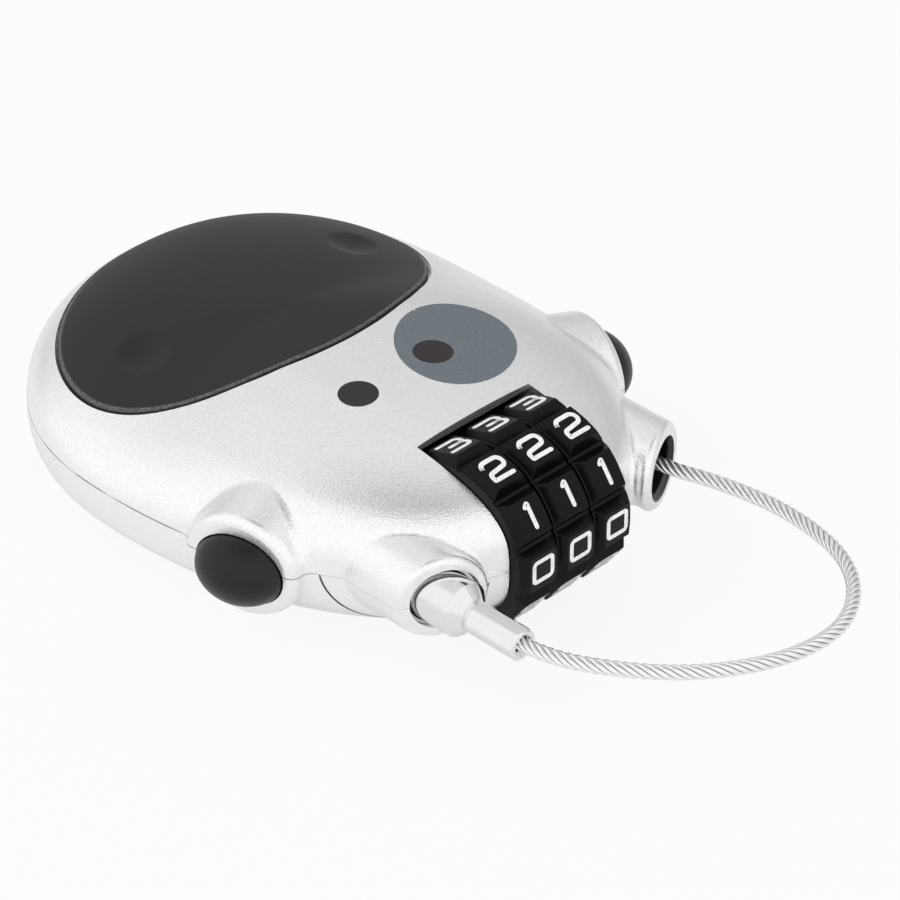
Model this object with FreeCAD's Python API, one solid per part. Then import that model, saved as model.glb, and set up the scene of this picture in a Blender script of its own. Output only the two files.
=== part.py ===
import FreeCAD, Part

import math
import os

V = FreeCAD.Vector

# Laptop cable lock with number dials: a pebble-shaped case with a grip pad, a steel cable on a
# spring-wound spool, and an end pin that locks in a socket beside the dials. Millimetres.
# While it is being built, X runs along the dial axle, the axle is at y = 0 and z = 0, +Y runs
# towards the grip pad and +Z is up. The parting plane of the case is z = 0. At the end every
# piece is set on the table with the case's middle over the origin.

# Case: an egg in plan, a flattened pebble in section
half_width = 31.8
widest_y = 37.6
rear_reach = 31.4
front_reach = 47.7
rear_squareness = 2.19
front_squareness = 2.14
crown_height = 11.48
side_roundness = 1.7
front_roundness = 3.31
rear_roundness = 2.93
belly_depth = 12.0
belly_roundness = 3.1
base_depth = 11.6
wall = 1.8
ring_points = 32
ring_steps = (10, 20, 30, 40, 50, 60, 70, 78, 84, 88)

# Dials and what turns with them
dial_count = 3
dial_pitch = 6.22
dial_width = 5.9
digits = 10
face_distance = 11.0
groove_radius = 9.9
face_half_height = 2.35
foot_half_height = 2.85
rim_band = 0.2
rim_radius = 10.1
left_bevel = 0.75
right_bevel = 0.9
dial_bore = 6.1
tumbler_radius = 6.0
tumbler_width = 5.6
key_width = 1.2
key_height = 0.8
washer_thickness = 0.5
washer_radius = 5.0

# Code spindle, which slides along the dial axle
spindle_radius = 1.9
spindle_fit = 0.07
release_travel = 1.6
fin_thickness = 0.8
fin_reach = 3.2
chamber_radius = 3.6
chamber_share = 3.6
collar_radius = 2.9
collar_thickness = 0.5
spindle_left = -13.1
spindle_right = 10.8
nipple_radius = 0.7
nipple_length = 0.8

# Window for the dials and the walls beside it
window_half_width = 9.3
window_back_y = 6.6
cheek_thickness = 0.9
cheek_back_y = 11.7
dial_clearance = 0.33
shroud_front_y = 11.9
shroud_thickness = 1.2
pointer_half_height = 0.75
pointer_length = 3.0
pointer_rise = 0.22

# Two bosses beside the window: pin socket on the left, cable port on the right
boss_x = 18.3
boss_z = 0.2
boss_radius = 5.4
boss_face_y = -7.1
boss_face_tilt = 25.0
boss_lip = 0.9
boss_end_y = 8.0
boss_blend = 0.8
scallop_radius = 6.7
tube_radius = 4.7
bore_radius = 3.95
bush_radius = 3.9
bush_bore = 3.55
bush_setback = 0.8
bush_end_y = 3.2
socket_bore = 3.6
tip_gap = 0.4
parting_gap = 0.15

# Steel cable with its end pin
cable_radius = 0.9
pin_radius = 3.4
pin_shoulder_y = -10.3
cone_length = 1.3
neck_radius = 1.75
neck_length = 0.4
groove_y = 4.85
groove_width = 1.5
groove_depth = 0.9
sleeve_flats = 3.7
sleeve_length = 7.6
sleeve_bore = 0.98
sleeve_mouth = 1.38
sleeve_mouth_depth = 0.6
cable_in_sleeve = 3.0
lead_front_y = 1.0
pull_out_travel = 40.0

# Side buttons: release on the left, rewind on the right, both turned towards the dials.
# They are oval: the radii are half heights, and the stretch makes them wider sideways.
button_x = 30.33
button_y = 14.79
button_z = -0.86
button_turn = 16.0
button_radius = 4.5
button_stretch = 1.27
button_gap = 0.15
button_rise = 3.76
button_travel = 1.8
skirt_length = 2.3
flange_radius = 5.0
flange_thickness = 1.0
flange_gap = 0.2
stem_radius = 2.0
release_stem = 10.05
rewind_stem = 8.45
side_boss_setback = 0.23
side_boss_rise = 0.25
side_boss_half_width = 7.5
side_boss_half_height = 6.6
side_boss_foot = 9.0
side_boss_foot_height = 8.8
side_boss_length = 13.0
side_boss_lip = 1.3
side_boss_blend = 1.5
seat_rib = 7.0
seat_rib_thickness = 0.8

# Release arm and latch leaf between the left button and the spindle
arm_x = -12.98
arm_thickness = 0.5
arm_half_height = 3.0
arm_back_y = 18.6
arm_tab_x = -20.3
arm_tab_y = 15.5
leaf_x = -13.5
leaf_thickness = 0.3
leaf_half_height = 1.5
leaf_back_y = 15.3

# Spool for the cable and its wind-up spring
spool_y = 40.0
spool_radius = 20.5
spool_half_groove = 2.8
spool_flange = 1.3
cover_thickness = 1.2
hub_radius = 11.9
hub_wall = 1.4
winding_radius = 17.1
winding_gap = 0.1
axle_radius = 2.5
axle_fit = 0.05
axle_bottom_z = -8.8
axle_top_z = 7.0
clip_z = 4.15
clip_thickness = 0.5
clip_radius = 4.2
clip_groove = 0.4
ribbon_thickness = 0.35
ribbon_pitch = 0.8
ribbon_turns = 8
ribbon_start = 3.1

# Brake lever that holds the spool until the right button is pressed
lever_x = 23.5
lever_y = 24.5
lever_hub = 2.3
lever_pin = 0.9
lever_bottom_z = -4.4
lever_thickness = 1.2
lever_arm_half = 1.1
shoe_x = 20.9
shoe_y = 33.6
shoe_radius = 1.9
shoe_gap = 0.15
brake_rib_x = 26.6
tab_x = 21.1
tab_y = 17.0
tab_thickness = 0.6
tab_top_z = 1.6

# Grip pad set into the crown
pad_y = 45.2
pad_half_width = 26.1
pad_front = 18.0
pad_rear = 20.5
pad_front_squareness = 1.96
pad_rear_squareness = 2.0
pad_depth = 0.9
pad_rise = 0.2
pad_gap = 0.3
dimple_x = 17.4
dimple_y = 45.0
dimple_radius = 3.6
dimple_depth = 0.5

# Screws that hold the halves together: places in plan
screw_places = ((0.0, 16.4), (24.4, 41.0), (-24.4, 41.0), (20.0, 58.0), (-20.0, 58.0))
post_radius = 2.6
screw_radius = 1.0
screw_head_radius = 2.0
screw_head_height = 1.4
screw_seat_z = -5.5
screw_top_z = 4.2
screw_fit = 0.06

# Free loop of cable, from inside the port to inside the sleeve, in plan at the height of the bores
loop_route = (
    (18.3, 1.0),
    (18.3, -6.0),
    (21.3, -14.5),
    (22.4, -25.0),
    (19.6, -36.0),
    (11.4, -42.8),
    (1.4, -42.6),
    (-8.0, -37.3),
    (-14.4, -29.8),
    (-18.3, -22.1),
    (-18.3, -16.6),
)

floor_z = wall - base_depth
mid_y = (widest_y + rear_reach - face_distance) / 2
big = 100.0


def block(x0, x1, y0, y1, z0, z1):
    """Box between two corners."""
    return Part.makeBox(x1 - x0, y1 - y0, z1 - z0, V(x0, y0, z0))


def rod(radius, start, end):
    """Cylinder from one point to another."""
    way = end - start
    return Part.makeCylinder(radius, way.Length, start, way)


def tube(outer, inner, start, end):
    """Hollow cylinder from one point to another."""
    return rod(outer, start, end).cut(rod(inner, start, end))


def prism(points, height):
    """Straight-sided solid raised from a closed outline of points along the height vector."""
    outline = Part.makePolygon(list(points) + [points[0]])
    return Part.Face(outline).extrude(height)


def turned(profile, centre, axis):
    """Profile points spun once round an axis through the centre."""
    outline = Part.makePolygon(list(profile) + [profile[0]])
    return Part.Face(outline).revolve(centre, axis, 360)


def joined(first, *others):
    """One solid from several that touch or overlap."""
    return first.fuse(list(others)).removeSplitter()


def arc_from(start, heading, end):
    """Arc that leaves one point along a heading and passes through another."""
    chord = end - start
    sideways = (chord - heading * chord.dot(heading)).normalize()
    centre = start + sideways * (chord.dot(chord) / (2 * chord.dot(sideways)))
    spoke = (start + end) * 0.5 - centre
    middle = centre + spoke * ((start - centre).Length / spoke.Length)
    return Part.Arc(start, middle, end).toShape()


def coil(mean_radius, wire_radius, turns, start, end):
    """Wire spring between two points; two tangent arcs follow each half turn of its helix."""
    way = end - start
    slope = (way.Length - 2 * wire_radius) / turns / math.tau
    spots = []
    for step in range(2 * turns + 1):
        turn = math.pi * step
        spot = V(mean_radius * math.cos(turn), 0, wire_radius + slope * turn)
        spots.append((spot, V(0, mean_radius * math.cos(turn), slope).normalize()))
    edges = []
    for (here, out), (there, into) in zip(spots, spots[1:]):
        gap = there - here
        along = gap.dot(out + into)
        spread = 2 * (1 - out.dot(into))
        reach = (math.sqrt(along**2 + spread * gap.dot(gap)) - along) / spread
        meet = (here + there + (out - into) * reach) * 0.5
        edges += [arc_from(here, out, meet), arc_from(there, into * -1, meet)]
    ring = Part.Wire(Part.makeCircle(wire_radius, spots[0][0], spots[0][1]))
    spring = Part.Wire(Part.__sortEdges__(edges)).makePipeShell([ring], True, False)
    spring.Placement = FreeCAD.Placement(start, FreeCAD.Rotation(V(0, 0, 1), way))
    return spring


# Case surface


def egg_reach(angle, inset):
    """Distance from the widest point's middle to the egg outline in one direction."""
    across = math.cos(angle)
    along = math.sin(angle)
    reach = rear_reach if along >= 0 else front_reach
    power = rear_squareness if along >= 0 else front_squareness
    sides = abs(across / (half_width - inset)) ** power
    ends = abs(along / (reach - inset)) ** power
    return (sides + ends) ** (-1 / power)


def roundness(angle, upper):
    """Exponent of the superellipse in section: softer at the sides, fuller at the ends."""
    if not upper:
        return belly_roundness
    along = math.sin(angle)
    end = rear_roundness if along >= 0 else front_roundness
    return side_roundness + (end - side_roundness) * along * along


def case_ring(share, inset, upper):
    """Closed curve round the case at a share of the crown height or of the belly depth."""
    height = share * ((crown_height if upper else belly_depth) - inset)
    points = []
    for step in range(ring_points):
        angle = math.radians(360 * step / ring_points - 90)
        power = roundness(angle, upper)
        reach = egg_reach(angle, inset) * (1 - share**power) ** (1 / power)
        x = reach * math.cos(angle)
        y = widest_y + reach * math.sin(angle)
        points.append(V(x, y, height if upper else -height))
    curve = Part.BSplineCurve()
    curve.interpolate(points, PeriodicFlag=True)
    return Part.Wire([curve.toShape()])


def pebble(inset):
    """The whole case shape, its skin moved inwards by the inset."""
    crown_power = (side_roundness + front_roundness) / 2
    upper = [math.sin(math.radians(a)) ** (2 / crown_power) for a in ring_steps]
    lower = [math.sin(math.radians(a)) ** (2 / belly_roundness) for a in ring_steps]
    rings = [case_ring(share, inset, False) for share in reversed(lower)]
    rings.append(case_ring(0.0, inset, True))
    rings += [case_ring(share, inset, True) for share in upper]
    return Part.makeLoft(rings, True, False)


above = block(-big, big, -big, big, 0, big)
below = block(-big, big, -big, big, -base_depth, 0)
outer = pebble(0.0)
hollow = pebble(wall).common(block(-big, big, -big, big, wall - base_depth, big))


# Bosses and what they hold


def boss_way(side):
    """Direction that a boss's slanted mouth faces."""
    tilt = math.radians(boss_face_tilt)
    return V(side * math.sin(tilt), -math.cos(tilt), 0)


def mouth_block(side, depth):
    """Everything in front of the slanted plane that lies the given depth behind the mouth."""
    way = boss_way(side)
    face = V(side * boss_x, boss_face_y, boss_z) - way * depth
    return Part.makeCylinder(4 * boss_radius, 4 * boss_radius, face, way)


def front_boss(side):
    """Round boss along Y with its slanted mouth and rounded lip."""
    centre = V(side * boss_x, 0, boss_z)
    body = rod(boss_radius, centre + V(0, -3 * boss_radius, 0), centre + V(0, boss_end_y, 0))
    body = body.cut(mouth_block(side, 0.0))
    lip = [edge for edge in body.Edges if edge.isClosed() and edge.BoundBox.YMax < 0]
    return body.makeFillet(boss_lip, lip)


def bore_along(side, radius, start_y, end_y):
    """Round hole or tube core on a boss's axis."""
    return rod(radius, V(side * boss_x, start_y, boss_z), V(side * boss_x, end_y, boss_z))


def at_button(shape, side):
    """Move a shape made with its outward axis along +X to the left or right button."""
    placed = shape.copy()
    placed.rotate(V(0, 0, 0), V(0, 0, 1), -button_turn if side > 0 else 180 + button_turn)
    placed.translate(V(side * button_x, button_y, button_z))
    return placed


def stretched(shape):
    """A round shape about the local X axis made oval like the buttons."""
    matrix = FreeCAD.Matrix()
    matrix.scale(1, button_stretch, 1)
    return shape.transformGeometry(matrix)


def oval_ring(x, half_width, half_height):
    """Ellipse across the local X axis."""
    oval = Part.Ellipse(V(x, half_width, 0), V(x, 0, half_height), V(x, 0, 0))
    return Part.Wire([oval.toShape()])


def side_boss(side):
    """Flared oval ring round a button, with a rounded lip."""
    lip_x = -side_boss_setback
    foot = oval_ring(lip_x - side_boss_length, side_boss_foot, side_boss_foot_height)
    mouth = oval_ring(lip_x, side_boss_half_width, side_boss_half_height)
    body = Part.makeLoft([foot, mouth], True, True)
    lip = [edge for edge in body.Edges if edge.BoundBox.XMin > lip_x - 0.01]
    body = body.makeFillet(side_boss_lip, lip)
    body.translate(V(0, 0, side_boss_rise))
    return at_button(body, side)


def button_holes(side):
    """Guide bore at the mouth and the wider room for the button's flange behind it."""
    guide = rod(button_radius + button_gap, V(-skirt_length, 0, 0), V(big / 4, 0, 0))
    room_start = flange_gap - skirt_length
    room_end = -skirt_length - flange_thickness - button_travel - 2 * flange_gap
    room = rod(flange_radius + flange_gap, V(room_end, 0, 0), V(room_start, 0, 0))
    return at_button(stretched(guide.fuse(room)), side)


# Case halves


def case_half():
    """Left half of the whole case with its two bosses, blended where they meet it."""
    side = side_boss(-1)
    front = front_boss(-1)
    body = outer.common(block(-big, 0, -big, big, -base_depth, big))
    body = body.fuse([side, front])
    meeting = meeting_edges(body, side, outer)
    body = body.makeFillet(side_boss_blend, meeting)
    return body.makeFillet(boss_blend, meeting_edges(body, front, outer))


def meeting_edges(body, first, second):
    """Edges of a body that lie on the surfaces of both shapes that it was joined from."""
    found = []
    for edge in body.Edges:
        middle = edge.valueAt((edge.FirstParameter + edge.LastParameter) / 2)
        spot = Part.Vertex(middle)
        near = [shape.Shells[0].distToShape(spot)[0] for shape in (first, second)]
        if max(near) < 0.01:
            found.append(edge)
    return found


def scallops(gap):
    """Round room about both front bosses, where the parting line dips below them."""
    reach = scallop_radius + gap
    return [bore_along(side, reach, -big / 2, boss_end_y + gap) for side in (-1, 1)]


def window():
    """Opening for the dials, from the crown round the front to the base, and their swept room."""
    reach = window_half_width
    room = face_distance + dial_clearance + 0.22
    opening = block(-reach, reach, -big, window_back_y, -big, big)
    return [opening, rod(room, V(-reach, 0, 0), V(reach, 0, 0))]


def cheeks():
    """Walls at both ends of the dial stack."""
    inner = window_half_width
    outer_x = window_half_width + cheek_thickness
    walls = (block(-outer_x, -inner, -big, cheek_back_y, -big, big),
             block(inner, outer_x, -big, cheek_back_y, -big, big))
    return walls


def pointers(grow):
    """Raised triangles on both cheeks that point at the row of digits that is read."""
    skin = pebble(-pointer_rise).cut(pebble(0.6))
    marks = []
    for side in (-1, 1):
        tip = side * (window_half_width + 0.1 - grow)
        base = side * (window_half_width + pointer_length)
        rise = pointer_half_height + grow
        corners = (V(tip, -big, 0), V(base, -big, rise), V(base, -big, -rise))
        marks.append(prism(corners, V(0, big, 0)).common(skin))
    return marks[0].fuse(marks[1])


def spindle_seat():
    """Bore through both cheeks for the code spindle."""
    reach = window_half_width + cheek_thickness + 1
    return rod(spindle_radius + spindle_fit, V(-reach, 0, 0), V(reach, 0, 0))


def pad_outline(gap):
    """Closed wire of the grip pad in plan."""
    points = []
    for step in range(ring_points):
        angle = math.radians(360 * step / ring_points)
        across = math.cos(angle)
        along = math.sin(angle)
        reach = pad_rear if along >= 0 else pad_front
        power = pad_rear_squareness if along >= 0 else pad_front_squareness
        sides = abs(across / (pad_half_width - gap)) ** power
        ends = abs(along / (reach - gap)) ** power
        distance = (sides + ends) ** (-1 / power)
        points.append(V(distance * across, pad_y + distance * along, 0))
    curve = Part.BSplineCurve()
    curve.interpolate(points, PeriodicFlag=True)
    return Part.Wire([curve.toShape()])


def pad_column(gap):
    """Upright column over the pad's outline."""
    return Part.Face(pad_outline(gap)).extrude(V(0, 0, 2 * crown_height))


def screw_posts(z0, z1):
    """Posts that meet on the parting plane round each screw."""
    return [rod(post_radius, V(x, y, z0), V(x, y, z1)) for x, y in screw_places]


def make_top_shell(body):
    """Upper half with both round bosses, the window, the pad's recess and the posts."""
    shell = body.common(above).fuse([body.common(scallop) for scallop in scallops(0.0)])
    shell = shell.cut(hollow)
    inner = [cheek.common(above) for cheek in cheeks()] + screw_posts(0, 2 * crown_height)
    for side in (-1, 1):
        inner.append(bore_along(side, tube_radius, boss_face_y + 3, boss_end_y))
    post_start = clip_z + clip_thickness + 0.5
    inner.append(rod(axle_radius + wall, V(0, spool_y, post_start), V(0, spool_y, 2 * crown_height)))
    inner = inner[0].fuse(inner[1:]).common(pebble(wall / 2))
    shell = shell.fuse([inner, pointers(0.0)])
    holes = window() + [spindle_seat(), button_holes(-1), button_holes(1), latch_slot()]
    for side in (-1, 1):
        holes.append(bore_along(side, bore_radius, -big / 2, bush_end_y))
    holes.append(bore_along(-1, socket_bore, 0, pin_tip_y + tip_gap))
    holes.append(bore_along(1, bush_bore, 0, boss_end_y + 1))
    for x, y in screw_places:
        holes.append(rod(screw_radius + screw_fit, V(x, y, -1), V(x, y, screw_top_z + 0.3)))
    holes.append(rod(axle_radius + axle_fit, V(0, spool_y, 0), V(0, spool_y, axle_top_z + 0.2)))
    holes.append(pad_column(0.0).cut(pebble(pad_depth)))
    return shell.cut(holes)


def latch_slot():
    """Slot in the side of the socket tube for the latch leaf's tongue."""
    half = groove_width / 2 - 0.1
    return block(
        -boss_x, leaf_x + 1, groove_y - half, groove_y + half,
        -leaf_half_height - 0.2, leaf_half_height + 0.2,
    )


def seat_ribs():
    """Ribs on the floor that the button springs push against, slotted for the stems."""
    ribs = []
    height = 3.6
    half = 4.4
    slot = stem_radius + 0.25
    for side in (-1, 1):
        rib = block(-seat_rib - seat_rib_thickness, -seat_rib, -half, half, -big, height)
        rib = rib.cut(block(-big / 2, 0, -slot, slot, -slot, big))
        ribs.append(at_button(rib, side))
    return ribs


def floor_parts():
    """Ribs and posts on the floor of the lower half."""
    rib_back = leaf_back_y + 0.1
    leaf_rib = block(-15.6, leaf_x - 0.05, 11.4, rib_back, -big, leaf_half_height + 0.3)
    leaf_stud = rod(0.6, V(leaf_x - 0.2, 13.4, 0), V(leaf_x + leaf_thickness + 0.1, 13.4, 0))
    arm_rib = block(arm_x - 0.4, arm_x + arm_thickness + release_travel + 0.4, 16.0, 17.2, -big, -3.1)
    lever_post = rod(lever_hub, V(lever_x, lever_y, -big), V(lever_x, lever_y, lever_bottom_z - 0.1))
    spring_rib = block(brake_rib_x, brake_rib_x + 1.2, shoe_y - 2, shoe_y + 2, -big, -1.6)
    shroud_foot = block(-6, 6, shroud_front_y + shroud_thickness + 0.05, 13.9, -big, -5)
    return [leaf_rib, leaf_stud, arm_rib, lever_post, spring_rib, shroud_foot]


def make_bottom_shell(body):
    """Lower half with the flat base, the floor parts and the screw recesses."""
    shell = body.common(below).cut([hollow] + scallops(parting_gap))
    inner = [cheek.common(below) for cheek in cheeks()] + screw_posts(-base_depth, 0)
    inner += floor_parts() + seat_ribs()
    post_end = -spool_half_groove - spool_flange - 0.4
    inner.append(rod(axle_radius + wall, V(0, spool_y, -base_depth), V(0, spool_y, post_end)))
    inner = inner[0].fuse(inner[1:]).common(pebble(wall / 2))
    inner = inner.common(block(-big, big, -big, big, wall / 2 - base_depth, big))
    shell = shell.fuse(inner)
    holes = window() + scallops(parting_gap)
    holes += [spindle_seat(), button_holes(-1), button_holes(1), pointers(parting_gap)]
    for x, y in screw_places:
        holes.append(rod(screw_radius + screw_fit, V(x, y, -base_depth), V(x, y, 1)))
        holes.append(rod(screw_head_radius + 0.25, V(x, y, -2 * base_depth), V(x, y, screw_seat_z)))
    holes.append(rod(axle_radius + axle_fit, V(0, spool_y, axle_bottom_z), V(0, spool_y, 0)))
    holes.append(rod(lever_pin + 0.02, V(lever_x, lever_y, -6.5), V(lever_x, lever_y, 0)))
    return shell.cut(holes)


def make_grip_pad():
    """Soft pad that stands a little proud of the crown, with two finger dimples."""
    pad = pad_column(pad_gap).common(pebble(-pad_rise)).cut(pebble(pad_depth - 0.05))
    ball = (dimple_radius**2 + dimple_depth**2) / (2 * dimple_depth)
    for side in (-1, 1):
        surface = crown_at(side * dimple_x, dimple_y) + pad_rise
        pad = pad.cut(Part.makeSphere(ball, V(side * dimple_x, dimple_y, surface - dimple_depth + ball)))
    return pad


def crown_at(x, y):
    """Height of the crown over a point in plan."""
    line = Part.makeLine(V(x, y, 0), V(x, y, 2 * crown_height))
    return line.common(outer).BoundBox.ZMax


# Dials, tumblers and the spindle


def dial_centre(index):
    return (index - (dial_count - 1) / 2) * dial_pitch


def make_dial(index):
    """Number wheel: ten raised faces with bevelled edges, and a keyed bore."""
    outline = []
    for digit in range(digits):
        middle = 360 / digits * digit
        foot = math.degrees(math.asin(foot_half_height / groove_radius))
        corner = math.degrees(math.atan2(face_half_height, face_distance))
        crest = math.hypot(face_half_height, face_distance)
        for angle, radius in (
            (middle - foot, groove_radius),
            (middle - corner, crest),
            (middle + corner, crest),
            (middle + foot, groove_radius),
        ):
            turn = math.radians(angle)
            outline.append(V(-dial_width / 2, -radius * math.cos(turn), radius * math.sin(turn)))
    wheel = prism(outline, V(dial_width, 0, 0))
    crest = math.hypot(face_half_height, face_distance) + 0.05
    left = -dial_width / 2
    right = dial_width / 2
    side_profile = (
        V(left, 0, 0),
        V(left, 0, rim_radius),
        V(left + rim_band, 0, rim_radius),
        V(left + rim_band + left_bevel, 0, crest),
        V(right - right_bevel, 0, crest),
        V(right, 0, rim_radius - 0.1),
        V(right, 0, 0),
    )
    wheel = wheel.common(turned(side_profile, V(0, 0, 0), V(1, 0, 0)))
    wheel = wheel.cut(rod(dial_bore, V(left - 1, 0, 0), V(right + 1, 0, 0)))
    slot = key_width / 2 + 0.08
    keyway = block(left - 1, right + 1, -slot, slot, 0, dial_bore + key_height + 0.1)
    wheel = wheel.cut(keyway)
    wheel.translate(V(dial_centre(index), 0, 0))
    return wheel


def make_tumbler(index):
    """Sleeve keyed inside a dial: a chamber for the spindle's fin and a gate beyond it."""
    half = tumbler_width / 2
    sleeve = rod(tumbler_radius, V(-half, 0, 0), V(half, 0, 0))
    key = block(-half, half, -key_width / 2, key_width / 2, 0, tumbler_radius + key_height)
    sleeve = sleeve.fuse(key)
    sleeve = sleeve.cut(rod(spindle_radius + spindle_fit, V(-half - 1, 0, 0), V(half + 1, 0, 0)))
    sleeve = sleeve.cut(rod(chamber_radius, V(-half - 1, 0, 0), V(-half + chamber_share, 0, 0)))
    gate = block(-half - 1, half + 1, -key_width, key_width, -chamber_radius, 0)
    sleeve = sleeve.cut(gate)
    sleeve.translate(V(dial_centre(index), 0, 0))
    return sleeve


def make_dial_washers():
    """Thin washers between neighbouring tumblers."""
    washers = []
    for gap in range(dial_count - 1):
        x = (dial_centre(gap) + dial_centre(gap + 1)) / 2
        half = V(washer_thickness / 2, 0, 0)
        washers.append(tube(washer_radius, chamber_radius + 0.3, V(x, 0, 0) - half, V(x, 0, 0) + half))
    return Part.makeCompound(washers)


def make_code_spindle():
    """Rod through the dials with a fin for each tumbler, a collar for the arm and a nipple."""
    spindle = rod(spindle_radius, V(spindle_left, 0, 0), V(spindle_right, 0, 0))
    spindle = spindle.fuse(rod(nipple_radius, V(spindle_right - 1, 0, 0), V(spindle_right + nipple_length, 0, 0)))
    collar_start = arm_x + arm_thickness + 0.08
    collar = rod(collar_radius, V(collar_start, 0, 0), V(collar_start + collar_thickness, 0, 0))
    fins = []
    for index in range(dial_count):
        start = dial_centre(index) - tumbler_width / 2 + 0.6
        fins.append(block(start, start + fin_thickness, -0.6, 0.6, -fin_reach, 0))
    return spindle.fuse([collar] + fins)


def make_dial_shroud():
    """Dark wall behind the dials that closes the window from inside."""
    back = shroud_front_y + shroud_thickness
    reach = window_half_width - 0.1
    wall_plate = block(-reach, reach, shroud_front_y, back, floor_z + 0.05, big)
    wall_plate = wall_plate.common(pebble(wall + 0.25))
    seat = block(-reach, reach, shroud_front_y - 1, shroud_front_y + 0.35, floor_z, -8.0)
    return wall_plate.cut(seat)


def make_detent_spring():
    """Leaf with a finger for each dial; every finger's tip lies in a groove between two faces."""
    leaf_back = shroud_front_y + 0.3
    leaf = 0.3
    tip_angle = math.radians(1.5 * 360 / digits - 36)
    tip_radius = 10.45
    tip_y = tip_radius * math.cos(tip_angle)
    tip_z = -tip_radius * math.sin(tip_angle)
    base = block(-8.6, 8.6, leaf_back - leaf, leaf_back, floor_z + 0.45, -8.1)
    spring = base
    for index in range(dial_count):
        x = dial_centre(index) + 0.3
        side = (
            V(x - 1.1, leaf_back - leaf, -9.0),
            V(x - 1.1, 11.55, -8.1),
            V(x - 1.1, 11.55, -4.9),
            V(x - 1.1, tip_y, tip_z),
            V(x - 1.1, tip_y + leaf, tip_z + 0.02),
            V(x - 1.1, 11.85, -4.8),
            V(x - 1.1, 11.85, -8.15),
            V(x - 1.1, leaf_back, -9.0),
        )
        spring = spring.fuse(prism(side, V(2.2, 0, 0)))
    return spring


# Pin, bushes and cable

pin_tip_y = 6.6
neck_y = pin_shoulder_y - cone_length
sleeve_start_y = neck_y - neck_length
sleeve_end_y = sleeve_start_y - sleeve_length


def make_socket_bush():
    """Steel lining of the pin's socket, set back behind the slanted mouth."""
    bush = tube(bush_radius, bush_bore, V(-boss_x, -3 * boss_radius, boss_z), V(-boss_x, bush_end_y - 0.1, boss_z))
    return bush.cut(mouth_block(-1, bush_setback))


def make_port_bush():
    """Dark lining of the cable port, set back behind the slanted mouth."""
    bush = tube(bush_radius, bush_bore, V(boss_x, -3 * boss_radius, boss_z), V(boss_x, bush_end_y - 0.1, boss_z))
    return bush.cut(mouth_block(1, bush_setback))


def make_cable_guide():
    """Plug at the back of the port with a rounded hole that the cable runs through."""
    start = V(boss_x, bush_end_y, boss_z)
    end = V(boss_x, boss_end_y, boss_z)
    guide = rod(bush_bore - 0.05, start, end)
    flange = rod(tube_radius, end, end + V(0, 0.8, 0))
    return guide.fuse(flange).cut(rod(cable_radius + 0.25, start - V(0, 1, 0), end + V(0, 2, 0)))


def make_lock_pin():
    """Steel end pin: round tip, latch groove, straight body, cone and neck."""
    groove_floor = pin_radius - groove_depth
    half = groove_width / 2
    profile = (
        V(0, pin_tip_y, 0),
        V(0, pin_tip_y, pin_radius - 0.6),
        V(0, pin_tip_y - 0.6, pin_radius),
        V(0, groove_y + half, pin_radius),
        V(0, groove_y + half - 0.15, groove_floor),
        V(0, groove_y - half + 0.15, groove_floor),
        V(0, groove_y - half, pin_radius),
        V(0, pin_shoulder_y + 0.15, pin_radius),
        V(0, pin_shoulder_y, pin_radius - 0.12),
        V(0, neck_y, neck_radius + 0.25),
        V(0, neck_y, neck_radius),
        V(0, sleeve_start_y, neck_radius),
        V(0, sleeve_start_y, 0),
    )
    pin = turned(profile, V(0, 0, 0), V(0, 1, 0))
    pin.translate(V(-boss_x, 0, boss_z))
    return pin


def make_crimp_sleeve():
    """Six-sided ferrule pressed on the end of the cable."""
    corner = sleeve_flats / 2 / math.cos(math.radians(30))
    corners = []
    for step in range(6):
        angle = math.radians(60 * step)
        corners.append(V(corner * math.cos(angle), sleeve_end_y, corner * math.sin(angle)))
    sleeve = prism(corners, V(0, sleeve_length, 0))
    round_limit = corner - 0.12
    sleeve = sleeve.common(rod(round_limit, V(0, sleeve_end_y, 0), V(0, sleeve_start_y, 0)))
    bevel = 0.3
    ends = (
        V(0, sleeve_end_y, 0),
        V(0, sleeve_end_y, round_limit - bevel),
        V(0, sleeve_end_y + bevel, round_limit),
        V(0, sleeve_start_y - bevel, round_limit),
        V(0, sleeve_start_y, round_limit - bevel),
        V(0, sleeve_start_y, 0),
    )
    sleeve = sleeve.common(turned(ends, V(0, 0, 0), V(0, 1, 0)))
    bore = rod(sleeve_bore, V(0, sleeve_end_y - 1, 0), V(0, sleeve_end_y + cable_in_sleeve, 0))
    mouth = Part.makeCone(sleeve_mouth, sleeve_bore, sleeve_mouth_depth, V(0, sleeve_end_y, 0), V(0, 1, 0))
    sleeve = sleeve.cut([bore, mouth])
    sleeve.translate(V(-boss_x, 0, boss_z))
    return sleeve


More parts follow.
